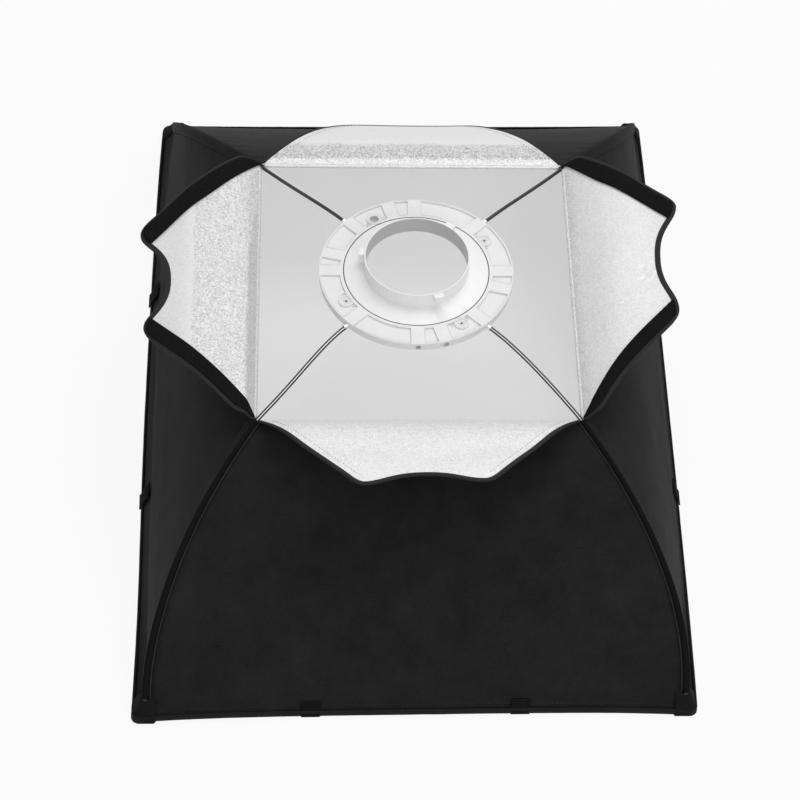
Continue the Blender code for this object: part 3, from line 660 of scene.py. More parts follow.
def seamPoint(t, sx, sy, where, inward, lift):
    longSide, shortSide = ("right" if sx > 0 else "left"), ("far" if sy > 0 else "near")
    spot = cornerPoint(min(t, 1.0))
    if where == "edge":
        where, inward = "short", inward + seam["edge"][shortSide + "_" + longSide]
    if where == "long":
        return skinPoint(longSide, t, (spot.y - inward) * sy, lift)
    if where == "short":
        return skinPoint(shortSide, t, (spot.x - inward) * sx, lift)
    a, b = outwardAt(longSide, t), outwardAt(shortSide, t)
    outward = Vector((a[0] * sx, b[0] * sy, a[1] + b[1])).normalized()
    return Vector((spot.x * sx, spot.y * sy, spot.z)) + outward * inward + cornerDrift(
        shortSide + "_" + longSide, spot.z)


def makeSeams():
    profile = seam["outer"] + seam["inner"]
    order = ["nylon", "seamShadeCloth", "inside"]
    made = [finishes["blackNylon"], finishes["seamShadeCloth"], finishes["liningInside"]]
    for name, sx, sy in quadrants:
        rings, welt, sewLong = [], [], []
        for i, t in enumerate(spread(openTurn + 0.001, 1.0, seam["rings"])):
            pucker = 1 + 0.12 * sin(i * 2.1) * noise.noise(Vector((i * 0.37, sx, sy)))
            rings.append([seamPoint(t, sx, sy, where, inward, lift * (pucker if lift > 0 else 1))
                          for where, inward, lift, _ in profile])
            welt.append(seamPoint(t, sx, sy, "edge", 0.0, seam["weltLift"]))
            sewLong.append(seamPoint(t, sx, sy, "long", seam["sewIn"], seam["sewLift"]))
        piece = loft("corner_seam_" + name, rings, made, [order.index(row[3]) for row in profile])
        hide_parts("corner_sleeve_" + name)
        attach(piece, "shell")
        cord = cordOn("seam_welt_" + name, welt, seam["welt"], finishes["welt"])
        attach(cord, "shell")
        up = Vector((0.3 * sx, 0.3 * sy, 0.9)).normalized()
        sewLine("shell", sewLong, [up] * len(sewLong))
    print("corner seams made")


# Front rim: a folded hem all round, and a stitched pocket over each rod's end
rim = {"inset": 0.0016, "halfThick": 0.0018, "low": 0.0003, "high": 0.0088, "steps": 60, "arcSteps": 6,
       "sides": 14, "wander": 0.0002, "roundOut": 0.6, "roundUp": 0.75, "sewEnd": 0.012, "sewLift": 0.0002}


def rimPath(inset):
    r = shell["rimCorner"]
    path = []
    for side, order in (("near", 1), ("right", 1), ("far", -1), ("left", -1)):
        deep = axesOf(side)[0]
        outer = (shell["length"] if deep else shell["width"]) / 2
        full = (shell["width"] if deep else shell["length"]) / 2
        for x in spread(-(full - r), full - r, rim["steps"]):
            path.append(toWorld(side, outer - inset, x * order, 0.0)
                        + sideDrift(side, x * order / full, shell["footLevel"]))
        start = {"near": -90, "right": 0, "far": 90, "left": 180}[side]
        cx, cy = {"near": (1, -1), "right": (1, 1), "far": (-1, 1), "left": (-1, -1)}[side]
        middle = Vector((cx * (shell["width"] / 2 - r), cy * (shell["length"] / 2 - r), 0))
        corner = ("far" if cy > 0 else "near") + "_" + ("right" if cx > 0 else "left")
        middle += cornerDrift(corner, shell["footLevel"])
        for turn in spread(start, start + 90, rim["arcSteps"])[1:-1]:
            path.append(middle + Vector((cos(radians(turn)), sin(radians(turn)), 0)) * (r - inset))
    return path


def makeRim():
    path = rimPath(rim["inset"])
    rings = []
    mid, half = (rim["low"] + rim["high"]) / 2, (rim["high"] - rim["low"]) / 2
    turns = [2 * pi * k / rim["sides"] for k in range(rim["sides"])]
    for i, p in enumerate(path):
        heading = (path[(i + 1) % len(path)] - path[i - 1]).normalized()
        out = Vector((heading.y, -heading.x, 0))
        wander = rim["wander"] * noise.noise(Vector((p.x * 60, p.y * 60, 3)))
        rings.append([p + out * (signedPower(cos(turn), rim["roundOut"]) * rim["halfThick"] + wander)
                      + Vector((0, 0, mid + signedPower(sin(turn), rim["roundUp"]) * half)) for turn in turns])
    piece = loft("rim_binding", rings, [finishes["blackNylon"]], closedPath=True)
    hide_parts("rim_hem_near", "rim_hem_far", "rim_hem_left", "rim_hem_right")
    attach(piece, "shell")
    for side in sides:
        half = halfAt(side, 1.0) - rim["sewEnd"]
        line = [skinPoint(side, 1.62, x, rim["sewLift"]) for x in spread(-half, half, 40)]
        out, up = outwardAt(side, 1.6)
        sewLine("shell", line, [toWorld(side, out, 0, up)] * len(line))
    print("rim made")


pocket = {"reach": 0.0230, "seamIn": 0.0120, "levels": 8, "puff": 0.0010, "least": 0.0006, "low": 0.0003,
          "top": 0.0228, "proud": 0.0018, "wall": 0.0020, "draw": 1.1, "lip": 0.0014, "arcSteps": 6, "soft": 0.0016}


def makePockets():
    end = cornerPoint(1.0)
    for name, sx, sy in quadrants:
        rings = []
        for k in range(pocket["levels"] + 1):
            share = k / pocket["levels"]
            puff = pocket["puff"] * sin(pi * min(share * 1.2, 1.0)) + pocket["least"]
            x1, y1 = (foot + (top + pocket["proud"] - foot + pocket["wall"]) * share ** pocket["draw"] + puff
                      for foot, top in ((shell["width"] / 2, end.x), (shell["length"] / 2, end.y)))
            x0, y0 = (v - pocket["reach"] + pocket["seamIn"] for v in (end.x, end.y))
            r = shell["rimCorner"] * (1 - 0.35 * share)
            z = pocket["low"] + (pocket["top"] - pocket["low"]) * share
            if k == pocket["levels"]:
                x1, y1 = x1 - pocket["lip"], y1 - pocket["lip"]
            outline = [(x0, y0), ((x0 + x1) / 2, y0), (x1 - r * 0.3, y0), (x1, y0 + 0.002)]
            for turn in spread(0.0, pi / 2, pocket["arcSteps"]):
                outline.append((x1 - r + r * cos(turn), y1 - r + r * sin(turn)))
            outline += [(x0 + 0.002, y1), (x0, y1 - r * 0.3), (x0, (y0 + y1) / 2)]
            shift = cornerDrift(name, z)
            rings.append([Vector((x * sx, y * sy, z)) + shift for x, y in outline])
        piece = loft("rod_pocket_" + name, rings, [finishes["pocketCloth"]])
        soft = piece.modifiers.new("softEdges", "BEVEL")
        soft.width, soft.segments, soft.limit_method, soft.angle_limit = pocket["soft"], 3, "ANGLE", radians(40)
        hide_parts("corner_pocket_" + name)
        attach(piece, "shell")
    print("pockets made")


# Rear flaps: silver cloth folded back from the opening
longFlap = {"base": 0.2174, "shoulder": 0.1895, "tilt": 0.0050, "wave": 0.0012, "keep": 0.16}
shortFlap = {"base": 0.1750, "taper": 0.861, "shoulder": 0.1900, "length": 0.1220, "notch": 0.0120,
             "tipRadius": 0.0070, "lean": 0.0}
# angles in degrees at depths from the fold; the outline narrows by taper from base, no wider than shoulder;
# tilt makes one tip longer, lean shifts both sideways; lining, liningTaper and flare are for each end's silver
flaps = {
    "left": {**longFlap, "creaseFrom": 0.150, "creaseTo": 0.030, "taper": 1.013, "lining": (0.1874, 0.1828),
             "angles": ((0.0, 46.8), (0.020, 30.5), (0.045, 7.1), (0.070, 1.3), (0.095, -16.7), (0.130, -13.2)),
             "creased": ((0.0, 50.0), (0.016, 50.0), (0.019, 19.0), (0.045, 7.0), (0.070, 1.3), (0.095, -16.7),
                         (0.130, -13.2)),
             "flare": (0.0020, 0.0060), "liningTaper": (1.013, 1.038), "deepest": -0.067, "length": 0.1363,
             "notch": 0.0273, "tipRadius": 0.0095, "lean": 0.046, "chord": 4.5},
    "right": {**longFlap, "taper": 1.036, "lining": (0.1888, 0.1828), "flare": (0.0020, 0.0090),
              "angles": ((0.0, 46.9), (0.020, 47.8), (0.045, 38.0), (0.070, 19.2), (0.095, 9.5), (0.130, 15.0)),
              "liningTaper": (1.036, 1.036), "length": 0.1285, "notch": 0.0188, "tipRadius": 0.0080,
              "lean": 0.006, "chord": 27.0},
    "near": {**shortFlap, "tilt": -0.0030, "wave": 0.0008, "bendFrom": 0.030, "bendTo": 0.090,
             "angles": ((0.0, 42.0), (0.010, 37.0), (0.030, 21.0), (0.050, 12.0), (0.070, 16.0), (0.090, 16.0),
                        (0.130, 10.0))},
    "far": {**shortFlap, "tilt": 0.0, "wave": 0.0007, "bendFrom": 0.020, "bendTo": 0.100,
            "angles": ((0.0, 14.0), (0.010, 8.3), (0.030, -6.0), (0.050, -20.8), (0.070, -28.7), (0.090, -38.0),
                       (0.130, -44.0))}}
# small wrinkles in a lining: depth, across, height, reach
wrinkles = {"right": ((0.058, 0.020, 0.0016, 0.012), (0.092, -0.022, 0.0022, 0.014), (0.045, -0.080, 0.0010, 0.020)),
            "left": ((0.080, 0.060, 0.0008, 0.020),)}
flapCloth = {"thickness": 0.0012, "rise": 0.0016, "rows": 56, "columns": 84, "step": 0.001, "rollRadius": 0.0012,
             "rollTail": 0.0030, "rollReach": 0.0030, "start": 0.0004, "round": 0.006, "spare": 0.008,
             "driftFade": 0.08, "sewIn": 0.0110, "sewLift": 0.0007}
flapBody = {"left": ("left_flap", "left_flap"), "right": ("right_flap", "right_flap"),
            "near": ("near_flap", "near_flap_tip"), "far": ("far_flap", "far_flap_tip")}


def flapTable(side, kind="angles"):
    form = flaps[side]
    deep, z = profileAt(side, openTurn)
    out, up = outwardAt(side, openTurn)
    deep, z = deep + out * flapCloth["rise"], z + up * flapCloth["rise"]
    table, s = [], 0.0
    while s < form["length"] + flapCloth["spare"]:
        angle = radians(tableAt(form[kind], s + flapCloth["step"] / 2))
        table.append((deep, z, angle))
        deep, z, s = deep + cos(angle) * flapCloth["step"], z + sin(angle) * flapCloth["step"], s + flapCloth["step"]
    return table


flapTables = {side: flapTable(side) for side in sides}
creasedTables = {"left": flapTable("left", "creased")}


def flapHalf(side, s):
    form = flaps[side]
    slanted, straight = form["base"] - form["taper"] * s, form["shoulder"]
    return (slanted + straight - hypot(slanted - straight, flapCloth["round"])) / 2


def flapEdge(side, u):
    # depth of the hollowed outer edge, with a rounded tip at each end
    form = flaps[side]
    r = form["tipRadius"]
    start = 1 - r / flapHalf(side, form["length"])
    over = max((abs(u) - start) / (1 - start), 0.0)
    away = abs(u - form.get("deepest", 0.0) * (1 - u * u))
    rise = sin(pi / 2 * min(away / start, 1.0)) ** 2.4
    return form["length"] + form["tilt"] * u - form["notch"] * (1 - rise) - r * (1 - sqrt(max(1 - over * over, 0.0)))


def flapSpot(side, s, w, height=0.0):
    table = flapTables[side]
    place = min(max(s / flapCloth["step"], 0.0), len(table) - 1.001)
    i = int(place)
    f = place - i
    deep, z, angle = (table[i][k] + (table[i + 1][k] - table[i][k]) * f for k in range(3))
    if side in creasedTables:
        other, form = creasedTables[side], flaps[side]
        bend = 1 - easeOver(w, form["creaseTo"], form["creaseFrom"])
        deep, z, angle = (was + (other[i][k] + (other[i + 1][k] - other[i][k]) * f - was) * bend
                          for k, was in enumerate((deep, z, angle)))
    w += flaps[side]["lean"] * max(s, 0.0) * min(max(s, 0.0) / 0.05, 1.0)
    wave = flaps[side]["wave"] * noise.noise(Vector((w * 17, s * 26, sides.index(side) * 3.1)))
    wave *= min(max(s, 0) / 0.02, 1)
    for deepAt, wideAt, size, reach in wrinkles.get(side, ()):
        away = hypot(s - deepAt, w - wideAt)
        if away < reach * 2.5:
            wave += size * exp(-(away / reach) ** 2) * noise.noise(Vector((w * 190, s * 150, 4.0)))
    rise = height + wave
    share = 1.0 if side in ("near", "far") else 1 - easeOver(s, 0.0, flapCloth["driftFade"])
    return toWorld(side, deep - sin(angle) * rise, w, z + cos(angle) * rise) + openDrift(side, w) * share


def flapNormal(side, s, w):
    a = flapSpot(side, s + 0.001, w) - flapSpot(side, s, w)
    b = flapSpot(side, s, w + 0.001) - flapSpot(side, s, w)
    normal = a.cross(b).normalized()
    return normal if normal.z > 0 else -normal


def hold(piece, carrier):
    # a shell piece is attached to the shell; one on the left or right flap is attached to that flap with a mesh of
    # its own; one on the near or far flap has its transform baked in
    if carrier == "shell":
        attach(piece, "shell")
        return
    form = flaps[carrier]
    body, tipBody = flapBody[carrier]
    if body == tipBody:
        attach(piece, body)
        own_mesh(piece)
    else:
        flapSpot(carrier, form["bendFrom"], 0.0)
        flapSpot(carrier, form["bendTo"], 0.0)
        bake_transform(piece)


def makeRoll(side):
    # the cloth's turn at the opening's edge, from under the panel's edge to the top of the fold
    deep, z = profileAt(side, openTurn)
    out, up = outwardAt(side, openTurn)
    r = flapCloth["rollRadius"]
    cd, cz = deep + out * (flapCloth["rise"] - r), z + up * (flapCloth["rise"] - r)
    spots = [(cd - out * r + up * flapCloth["rollTail"], cz - up * r - out * flapCloth["rollTail"])]
    for turn in (-90, -55, -20, 15, 45):
        c, s = cos(radians(turn)), sin(radians(turn))
        spots.append((cd + out * r * s - up * r * c, cz + up * r * s + out * r * c))
    half = flapHalf(side, 0.0) - 0.004
    across = spread(-half, half, flapCloth["columns"])
    rows = [[toWorld(side, d, w, h) + openDrift(side, w) for w in across] for d, h in spots]
    rows.append([flapSpot(side, flapCloth["rollReach"], w, -0.0004) for w in across])
    # the roll's negative depths give it the lining's first, darker tone: painted shade of the fold
    flats = [[(w, v) for w in across] for v in (-0.0075, -0.0045, -0.0036, -0.0026, -0.0018, -0.0010, 0.0030)]
    faces = [finishes["lining" + side.capitalize()], finishes["blackNylon"]]
    roll = clothGrid("flap_roll_" + side, rows, flats, faces, flapCloth["thickness"], 0.0, side in flippedSides)
    if side in ("near", "far"):
        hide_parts("flap_%s_inner" % side)
    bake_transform(roll)
    return roll


def edgePath(side, inset, first=0.003):
    # the flap's outline in flat coordinates (depth, across), drawn in by inset
    last = {sign: flapEdge(side, sign) for sign in (-1, 1)}
    outline = [(s, -flapHalf(side, s)) for s in spread(first, last[-1], 40)]
    outline += [(flapEdge(side, u), u * flapHalf(side, flapEdge(side, u))) for u in spread(-1, 1, 100)[1:-1]]
    outline += [(s, flapHalf(side, s)) for s in spread(last[1], first, 40)]
    path = []
    for i, (s, w) in enumerate(outline):
        s0, w0 = outline[max(i - 1, 0)]
        s1, w1 = outline[min(i + 1, len(outline) - 1)]
        size = hypot(s1 - s0, w1 - w0)
        path.append((s, w, -(w1 - w0) / size, (s1 - s0) / size))
    return [(s + ns * inset, w + nw * inset, ns, nw) for s, w, ns, nw in path]


binding = {"left": (0.0045, 0.0060), "right": (0.0045, 0.0058), "near": (0.0042, 0.0042), "far": (0.0040, 0.0040),
           "half": 0.0014, "proud": 0.0008, "sides": 12, "roundIn": 0.7, "roundUp": 0.6, "tipFrom": 0.012,
           "tipTo": 0.004, "sewIn": 0.0011, "sewLift": 0.0013}


def bindingShare(s):
    return 0.5 + 0.5 * easeOver(s, 0.0, 0.04)  # the binding starts narrow at the fold


def makeBinding(side):
    tipHalf = flapHalf(side, flaps[side]["length"])
    slope, edge = binding[side]
    rings, sewn = [], []
    for s, w, ns, nw in edgePath(side, 0.0):
        width = edge + (slope - edge) * easeOver(abs(w), tipHalf - binding["tipFrom"], tipHalf + binding["tipTo"])
        width *= bindingShare(s)
        ring = []
        for k in range(binding["sides"]):
            turn = 2 * pi * k / binding["sides"]
            inward = signedPower(cos(turn), binding["roundIn"]) * (width + binding["proud"]) / 2
            inward = (width - binding["proud"]) / 2 + inward
            ring.append(flapSpot(side, s + ns * inward, w + nw * inward,
                                 signedPower(sin(turn), binding["roundUp"]) * binding["half"]))
        rings.append(ring)
        sewn.append((s + ns * (width - binding["sewIn"]), w + nw * (width - binding["sewIn"])))
    sewLine(side, [flapSpot(side, s, w, binding["sewLift"]) for s, w in sewn],
            [flapNormal(side, s, w) for s, w in sewn])
    piece = loft("edge_binding_" + side, rings, [finishes["edgeBinding"]])
    hold(piece, side)
    return piece


hook = {"start": 0.0035, "end": 0.0025, "thickness": 0.0013, "lift": 0.0015, "crown": 0.0002, "least": 0.0008,
        "flareEnd": 0.055, "under": 1.1, "steps": 40, "rows": 8, "sewLift": 0.0003}


def makeHookTape(side, end, sign):
    form = flaps[side]
    silver, silverTaper, flare = (form[key][sign > 0] for key in ("lining", "liningTaper", "flare"))
    slant = hypot(form["taper"], 1.0)
    rows, flats = [], []
    for share in spread(0.0, 1.0, hook["rows"]):
        row, flat = [], []
        for k in range(hook["steps"] + 1):
            s, w = hook["start"], 0.0
            for _ in range(3):
                last = flapEdge(side, w / flapHalf(side, s) * sign) - hook["end"]
                s = hook["start"] + (last - hook["start"]) * k / hook["steps"]
                outer = flapHalf(side, s) - binding[side][0] * hook["under"] * bindingShare(s) ** 2
                inner = silver - silverTaper * s + flare * (1 - easeOver(s, 0.0, hook["flareEnd"]))
                inner = min(inner, outer)
                w = inner + (max(outer, inner + hook["least"]) - inner) * share
            row.append(flapSpot(side, s, w * sign, hook["lift"] + hook["crown"] * sin(pi * share)))
            flat.append(((w - inner) / slant, s * slant))
        rows.append(row)
        flats.append(flat)
    flip = (sign > 0) != (side == "left")
    piece = clothGrid("hook_strip_%s_%s" % (side, end), rows, flats, [finishes["hookTape"]], hook["thickness"],
                      flip=flip)
    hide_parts("hook_tape_%s_%s" % (side, end))
    hold(piece, side)
    up = Vector((0, 0, 1))
    sewLine(side, [p + up * hook["sewLift"] for p in rows[1]], [up] * len(rows[1]))
    return piece


def makeFlaps():
    for side in sides:
        rows, flats = [], []
        for k in range(flapCloth["rows"] + 1):
            row, flat = [], []
            for u in spread(-1, 1, flapCloth["columns"]):
                s = flapCloth["start"] + (flapEdge(side, u) - flapCloth["start"]) * k / flapCloth["rows"]
                w = u * (flapHalf(side, s) - 0.0008)
                row.append(flapSpot(side, s, w))
                flat.append((w, s))
            rows.append(row)
            flats.append(flat)
        faces = [finishes["lining" + side.capitalize()], finishes["blackNylon"]]
        piece = clothGrid("cloth_flap_" + side, rows, flats, faces, flapCloth["thickness"], 0.0, side in flippedSides)
        trim = [makeRoll(side), makeBinding(side)]
        if side in ("left", "right"):
            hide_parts("flap_" + side)
            trim += [makeHookTape(side, "a", -1), makeHookTape(side, "b", 1)]
        else:
            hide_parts("flap_%s_outer" % side)
            path = edgePath(side, flapCloth["sewIn"], 0.012)
            for run in (path[:41], path[-41:]):  # the two sloped edges
                sewLine(side, [flapSpot(side, s, w, flapCloth["sewLift"]) for s, w, _, _ in run],
                        [flapNormal(side, s, w) for s, w, _, _ in run])
        hold(piece, side)
    print("flaps made")


# Front diffuser with its tapes inside the rim, and the tabs for a grid outside it
front = {"level": 0.0280, "inset": 0.0032, "sag": 0.0030, "wave": 0.0005, "thickness": 0.0010, "tapeWidth": 0.0200,
         "tapeMargin": 0.0120, "tapeHigh": 0.0225, "tapeLow": 0.0028, "tapeIn": 0.0016, "tapeThickness": 0.0011}


def makeDiffuser():
    t = turnAtHeight(front["level"])

    def limit(side, across):
        spot = skinPoint(side, t, across)
        return abs(spot[axesOf(side)[0]]) - front["inset"]

    rows, flats = [], []
    for v in spread(-1, 1, 44):
        row, flat = [], []
        for u in spread(-1, 1, 32):
            x0, y0 = u * halfAt("far", t) * 0.985, v * halfAt("right", t) * 0.99
            x, y = u * limit("right", y0), v * limit("far", x0)
            sag = front["sag"] * (1 - u * u) * (1 - v * v)
            sag += front["wave"] * noise.noise(Vector((x * 9, y * 9, 2)))
            row.append(Vector((x, y, front["level"] - sag)))
            flat.append((x, y))
        rows.append(row)
        flats.append(flat)
    piece = clothGrid("diffuser_sheet", rows, flats, [finishes["diffuserCloth"]], front["thickness"], 0.0)
    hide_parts("front_diffuser")
    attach(piece, "shell")
    for side in sides:
        turns = spread(turnAtHeight(front["level"] + front["tapeHigh"]),
                       turnAtHeight(front["level"] + front["tapeLow"]), 4)
        half = halfAt(side, turns[0]) - front["tapeMargin"]
        across = spread(-half, half, 40)
        tapeRows = [[skinPoint(side, a, x, -front["tapeIn"]) for x in across] for a in turns]
        tapeFlats = [[(x, i * front["tapeWidth"] / 4) for x in across] for i in range(len(turns))]
        strip = clothGrid("loop_strip_" + side, tapeRows, tapeFlats, [finishes["hookTape"]], front["tapeThickness"],
                          flip=side in flippedSides)
        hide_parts("loop_tape_" + side)
        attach(strip, "shell")
    print("diffuser made")


tab = {"width": 0.0200, "high": {"near": 0.0150, "far": 0.0150, "left": 0.0265, "right": 0.0265}, "low": 0.0016,
       "place": {"near": 0.1110, "far": 0.1110, "left": 0.1500, "right": 0.1500}, "lift": 0.0025, "crown": 0.0003,
       "rows": 6, "columns": 8, "thickness": 0.0013}


def makeTabs():
    foot, top = shell["footLevel"], shell["pocketHeight"]
    for side in sides:
        for end, sign in (("a", -1), ("b", 1)):
            rows, flats, place = [], [], tab["place"][side] * sign
            for k, z in enumerate(spread(tab["high"][side], tab["low"], tab["rows"])):
                t = 2.0 - (z - foot) / (top - foot) if z < top else turnAtHeight(z)
                xs = spread(place - tab["width"] / 2, place + tab["width"] / 2, tab["columns"])
                lift = tab["lift"] + tab["crown"] * sin(pi * k / tab["rows"])
                rows.append([skinPoint(side, t, x, lift) for x in xs])
                flats.append([(x, z) for x in xs])
            piece = clothGrid("tab_%s_%s" % (side, end), rows, flats, [finishes["hookTape"]], tab["thickness"],
                              flip=side in flippedSides)
            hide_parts("grid_tab_%s_%s" % (side, end))
            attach(piece, "shell")
    print("tabs made")


# Speed ring, insert, ferrules and screws
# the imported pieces, each with a finish and the width of its softened edges
hardware = {"ring_housing": ("ringPlastic", 0.0004), "ring_clamp_plate": ("ringPlastic", 0.0004),
            "mount_insert": ("insertPaintAndBoreShade", 0.0004), "rod_ferrule": ("brightMetal", 0.0002),
            "ring_screw": ("screwHead", 0.0002)}
ring = {"radius": 0.1078, "innerRadius": 0.0806, "top": 0.2165, "lip": 0.0020, "innerLip": 0.0039, "barHalf": 0.0075,
        "bars": (0, 45, 90, 106.5, 135, 165, 180, 225, 270, 286.5, 315, 345), "bosses": (31, 210, 302, 120.5),
        "bossCircle": 0.0898, "bossRadius": 0.0085, "dishRadius": 0.0062, "ribRadius": 0.0108, "ribHalf": 0.00045,
        "ribLift": 0.0001, "headTop": 0.2157, "gapShade": 0.0010, "gapShadeLift": 0.0002, "beadIn": 0.0004, "gapShadeIn": 0.0002,
        "dishOut": 0.0001, "ribDrop": 0.0008, "ribWidth": 0.0006, "socket": 0.0012, "socketLow": 0.0004,
        "socketHigh": 0.00005, "screws": 3}


# Spring rods
# each leaves its ferrule, dips a little, and runs on inside its sleeve; cap: (along the rod, radius); top: the way
# each row's ring starts, and for the near rods where their painted highlight strip lies
rods = {"radius": {"near": 0.0023, "far": 0.0020}, "steps": 90, "sides": 32, "inside": 0.0080, "past": 0.0008,
        "dip": 0.0030, "swing": {"near_left": 0.0030, "near_right": 0.0, "far_left": 0.0008, "far_right": 0.0},
        "late": 1.4, "top": {"near": (-0.04, -0.67, 0.74), "far": (0.0, 0.2, -0.98)}, "capSides": 16,
        "cap": ((-0.0095, 0.0024), (-0.0089, 0.0028), (0.0002, 0.0028), (0.0012, 0.0021))}


def makeRods():
    first = (curveNodes[1] - curveNodes[0]).normalized()
    last = (curveNodes[3] - curveNodes[2]).normalized()
    for name, sx, sy in quadrants:
        path = [curveNodes[0] - first * rods["inside"]]
        path += [cornerPoint(t) for t in spread(0.0, 1.0, rods["steps"])] + [curveNodes[3] + last * rods["past"]]
        turns = [0.0] + spread(0.0, 1.0, rods["steps"]) + [1.0]
        line = []
        for p, t in zip(path, turns):
            bow = sin(pi * min(t / openTurn, 1.0) ** rods["late"])
            swing = rods["swing"][name] * bow * sqrt(0.5)
            spot = Vector((p.x * sx, p.y * sy, p.z - rods["dip"] * bow)) + Vector((-sx * swing, -swing, 0))
            line.append(spot + cornerDrift(name, spot.z))
        row = name.split("_")[0]
        above = Vector(rods["top"][row])
        rings = []
        for i, p in enumerate(line):
            heading = (line[min(i + 1, len(line) - 1)] - line[max(i - 1, 0)]).normalized()
            top = (above - heading * above.dot(heading)).normalized()
            side = heading.cross(top)
            rings.append(ringOf(p, top, side, rods["radius"][row], rods["sides"]))
        # the near rods have a lighter strip on the faces beside top: a painted highlight
        strip = [1 if row == "near" and k in (0, rods["sides"] - 1) else 0 for k in range(rods["sides"])]
        piece = loft("spring_rod_" + name, rings, [finishes["springSteel"], finishes["paintedHighlightSteel"]], strip)
        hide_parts("rod_" + name)
        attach(piece, "shell")
        end = line[-1]
        heading = (line[-1] - line[-3]).normalized()
        side = heading.cross(Vector((0, 0, 1))).normalized()
        up = side.cross(heading)
        rings = [ringOf(end + heading * along, side, up, radius, rods["capSides"]) for along, radius in rods["cap"]]
        cap = loft("end_cap_" + name, rings, [finishes["capPlastic"]])
        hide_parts("rod_cap_" + name)
        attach(cap, "shell")
    print("rods made")


def ringPoint(radius, turn, lift=0.0):
    return Vector((radius * cos(radians(turn)), radius * sin(radians(turn)), ring["top"] + lift))


def circleAt(middle, radius, start=0.0, end=360.0, steps=36):
    return [middle + Vector((cos(radians(a)), sin(radians(a)), 0)) * radius for a in spread(start, end, steps)]


def makeRingRibs():
    # raised beads along the ring's fields, rims and bosses, a dark ring in the gap that is painted shade, and the
    # screws' sockets as dark hexagons of painted shade
    def bead(name, path, closedPath=True, half=ring["ribHalf"], finish="ringPlastic"):
        piece = cordOn(name, path, half, finishes[finish], 6, closedPath)
        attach(piece, "shell")

    outer, inner = ring["radius"] - ring["lip"], ring["innerRadius"] + ring["innerLip"]
    for i, start in enumerate(ring["bars"]):
        end = ring["bars"][(i + 1) % len(ring["bars"])] + (360 if i == len(ring["bars"]) - 1 else 0)
        path = []
        for radius, order in ((outer, 1), (inner, -1)):
            cut = degrees(asin(ring["barHalf"] / radius))
            path += [ringPoint(radius, a, ring["ribLift"]) for a in spread(start + cut, end - cut, 12)[::order]]
        bead("ring_field_bead_%d" % (i + 1), path)
    allRound = spread(0, 360, 120)[:-1]
    bead("ring_outer_bead", [ringPoint(ring["radius"] - ring["beadIn"], a) for a in allRound])
    # a thin dark ring down in the gap between ring and insert: painted shade
    bead("ring_gap_shade", [ringPoint(ring["innerRadius"] - ring["gapShadeIn"], a, -ring["gapShade"] + ring["gapShadeLift"])
                           for a in allRound], half=ring["gapShade"], finish="capPlastic")
    for i, turn in enumerate(ring["bosses"]):
        middle = ringPoint(ring["bossCircle"], turn)
        bead("boss_bead_%d" % (i + 1), circleAt(middle, ring["bossRadius"] - ring["beadIn"])[:-1])
        bead("dish_bead_%d" % (i + 1), circleAt(middle, ring["dishRadius"] + ring["dishOut"])[:-1])
        bead("boss_rib_%d" % (i + 1), circleAt(middle - Vector((0, 0, ring["ribDrop"])), ring["ribRadius"],
                                               turn + 100, turn + 260, 18), False, ring["ribWidth"])
        if i < ring["screws"]:  # the fourth screw is sunk and has no socket
            # a thin dark hexagon at the top of each screw head: painted shade of its socket
            corners = circleAt(Vector((middle.x, middle.y, ring["headTop"])), ring["socket"], 0, 360, 6)[:-1]
            low = [p - Vector((0, 0, ring["socketLow"])) for p in corners]
            high = [p + Vector((0, 0, ring["socketHigh"])) for p in corners]
            socket = loft("screw_socket_shade_%d" % (i + 1), [low, high], [finishes["capPlastic"]])
            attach(socket, "shell")
    print("ring beads made")


def dressHardware():
    for name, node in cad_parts.items():
        kind = next((key for key in hardware if name.startswith(key)), None)
        if not kind:
            continue
        finish, edge = hardware[kind]
        finish = "darkScrew" if name == "ring_screw_4" else finish
        node.data.materials.clear()
        node.data.materials.append(finishes[finish])
        weld = node.modifiers.new("weld", "WELD")
        weld.merge_threshold = 0.00002
        soft = node.modifiers.new("softEdges", "BEVEL")
        soft.width, soft.segments, soft.limit_method, soft.angle_limit = edge, 2, "ANGLE", radians(35)
        soft.harden_normals = True
    print("hardware dressed")


# Floor, lamps and background
light = {"sky": 0.46, "keyPower": 27.0, "keySize": 2.0, "keyPlace": (0.45, 0.9, 2.5), "fillPower": 19.0,
         "fillSize": 1.1, "fillPlace": (0.8, -2.5, 1.7), "tablePower": 0.43, "tableSize": (0.54, 0.82),
         "tableLevel": 0.002, "floor": 0.86, "floorGlow": 0.9, "floorHalf": 9.0, "floorLevel": -0.0004}


def seenDirectly(owner):
    # 1 for what the camera sees straight, mirrored or through something, else 0
    path = addNode(owner, "ShaderNodeLightPath").outputs
    seen = addMath(owner, "MAXIMUM", path["Is Camera Ray"], path["Is Glossy Ray"])
    return addMath(owner, "MAXIMUM", seen, path["Is Transmission Ray"])


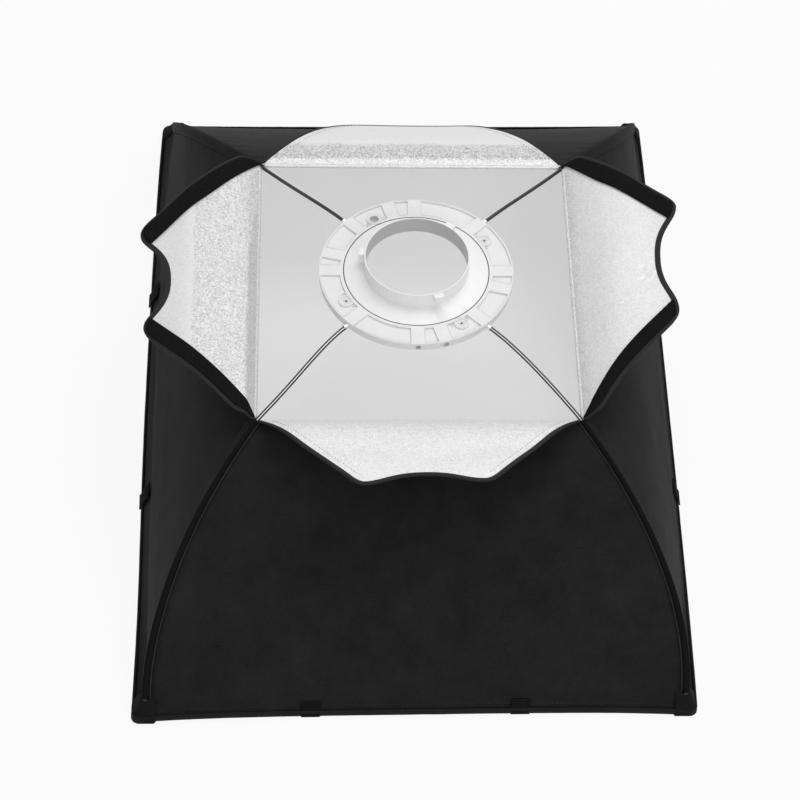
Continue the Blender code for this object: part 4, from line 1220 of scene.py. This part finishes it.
def makeStage():
    mesh = bpy.data.meshes.new("floor")
    half = light["floorHalf"]
    mesh.from_pydata([(-half, -half, 0), (half, -half, 0), (half, half, 0), (-half, half, 0)], [], [(0, 1, 2, 3)])
    floor = bpy.data.objects.new("floor", mesh)
    floor.location.z = light["floorLevel"]
    scene.collection.objects.link(floor)
    floor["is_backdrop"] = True
    finish, shader = newFinish("paleFloor", light["floor"], 0.9, specular=0.1)
    tree = finish.node_tree
    glow = addNode(finish, "ShaderNodeEmission", None, {"Color": rgba(1.0), "Strength": 1.0})
    share = addMath(finish, "MULTIPLY", seenDirectly(finish), light["floorGlow"])
    mix = addNode(finish, "ShaderNodeMixShader", None, {0: share, 1: shader.outputs[0], 2: glow.outputs[0]})
    tree.links.new(mix.outputs[0], tree.nodes["Material Output"].inputs["Surface"])
    mesh.materials.append(finish)

    world = bpy.data.worlds.new("studio")
    scene.world = world
    world.use_nodes = True
    back = world.node_tree.nodes["Background"]
    back.inputs["Color"].default_value = rgba(1.0)
    level = addNode(world, "ShaderNodeMapRange", None,
                    {"Value": seenDirectly(world), "To Min": light["sky"], "To Max": 1.0})
    world.node_tree.links.new(level.outputs[0], back.inputs["Strength"])

    for name in ("key", "fill"):
        lamp = bpy.data.lights.new(name, "AREA")
        lamp.shape = "DISK"
        lamp.size = light[name + "Size"]
        lamp.energy = light[name + "Power"]
        holder = bpy.data.objects.new(name, lamp)
        scene.collection.objects.link(holder)
        place = Vector(light[name + "Place"])
        holder.location = place
        holder.rotation_euler = (Vector((0, 0, 0.1)) - place).to_track_quat("-Z", "Y").to_euler()
    table = bpy.data.lights.new("lightTable", "AREA")  # a weak light table under the rim, seen through the diffuser
    table.shape, table.size, table.size_y = "RECTANGLE", *light["tableSize"]
    table.energy = light["tablePower"]
    holder = bpy.data.objects.new("lightTable", table)
    holder.location, holder.rotation_euler = (0, 0, light["tableLevel"]), (pi, 0, 0)
    scene.collection.objects.link(holder)
    print("stage made")


makeCamera()
makeFinishes()
makeStage()
makePanels()
makeSeams()
makeRim()
makePockets()
makeFlaps()
makeDiffuser()
makeTabs()
makeStitches()
makeRods()
makeRingRibs()
dressHardware()

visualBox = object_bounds()
for name, box in (("CAD box", cadBox), ("visual box", visualBox)):
    print(name, [round(v, 4) for corner in box for v in corner])
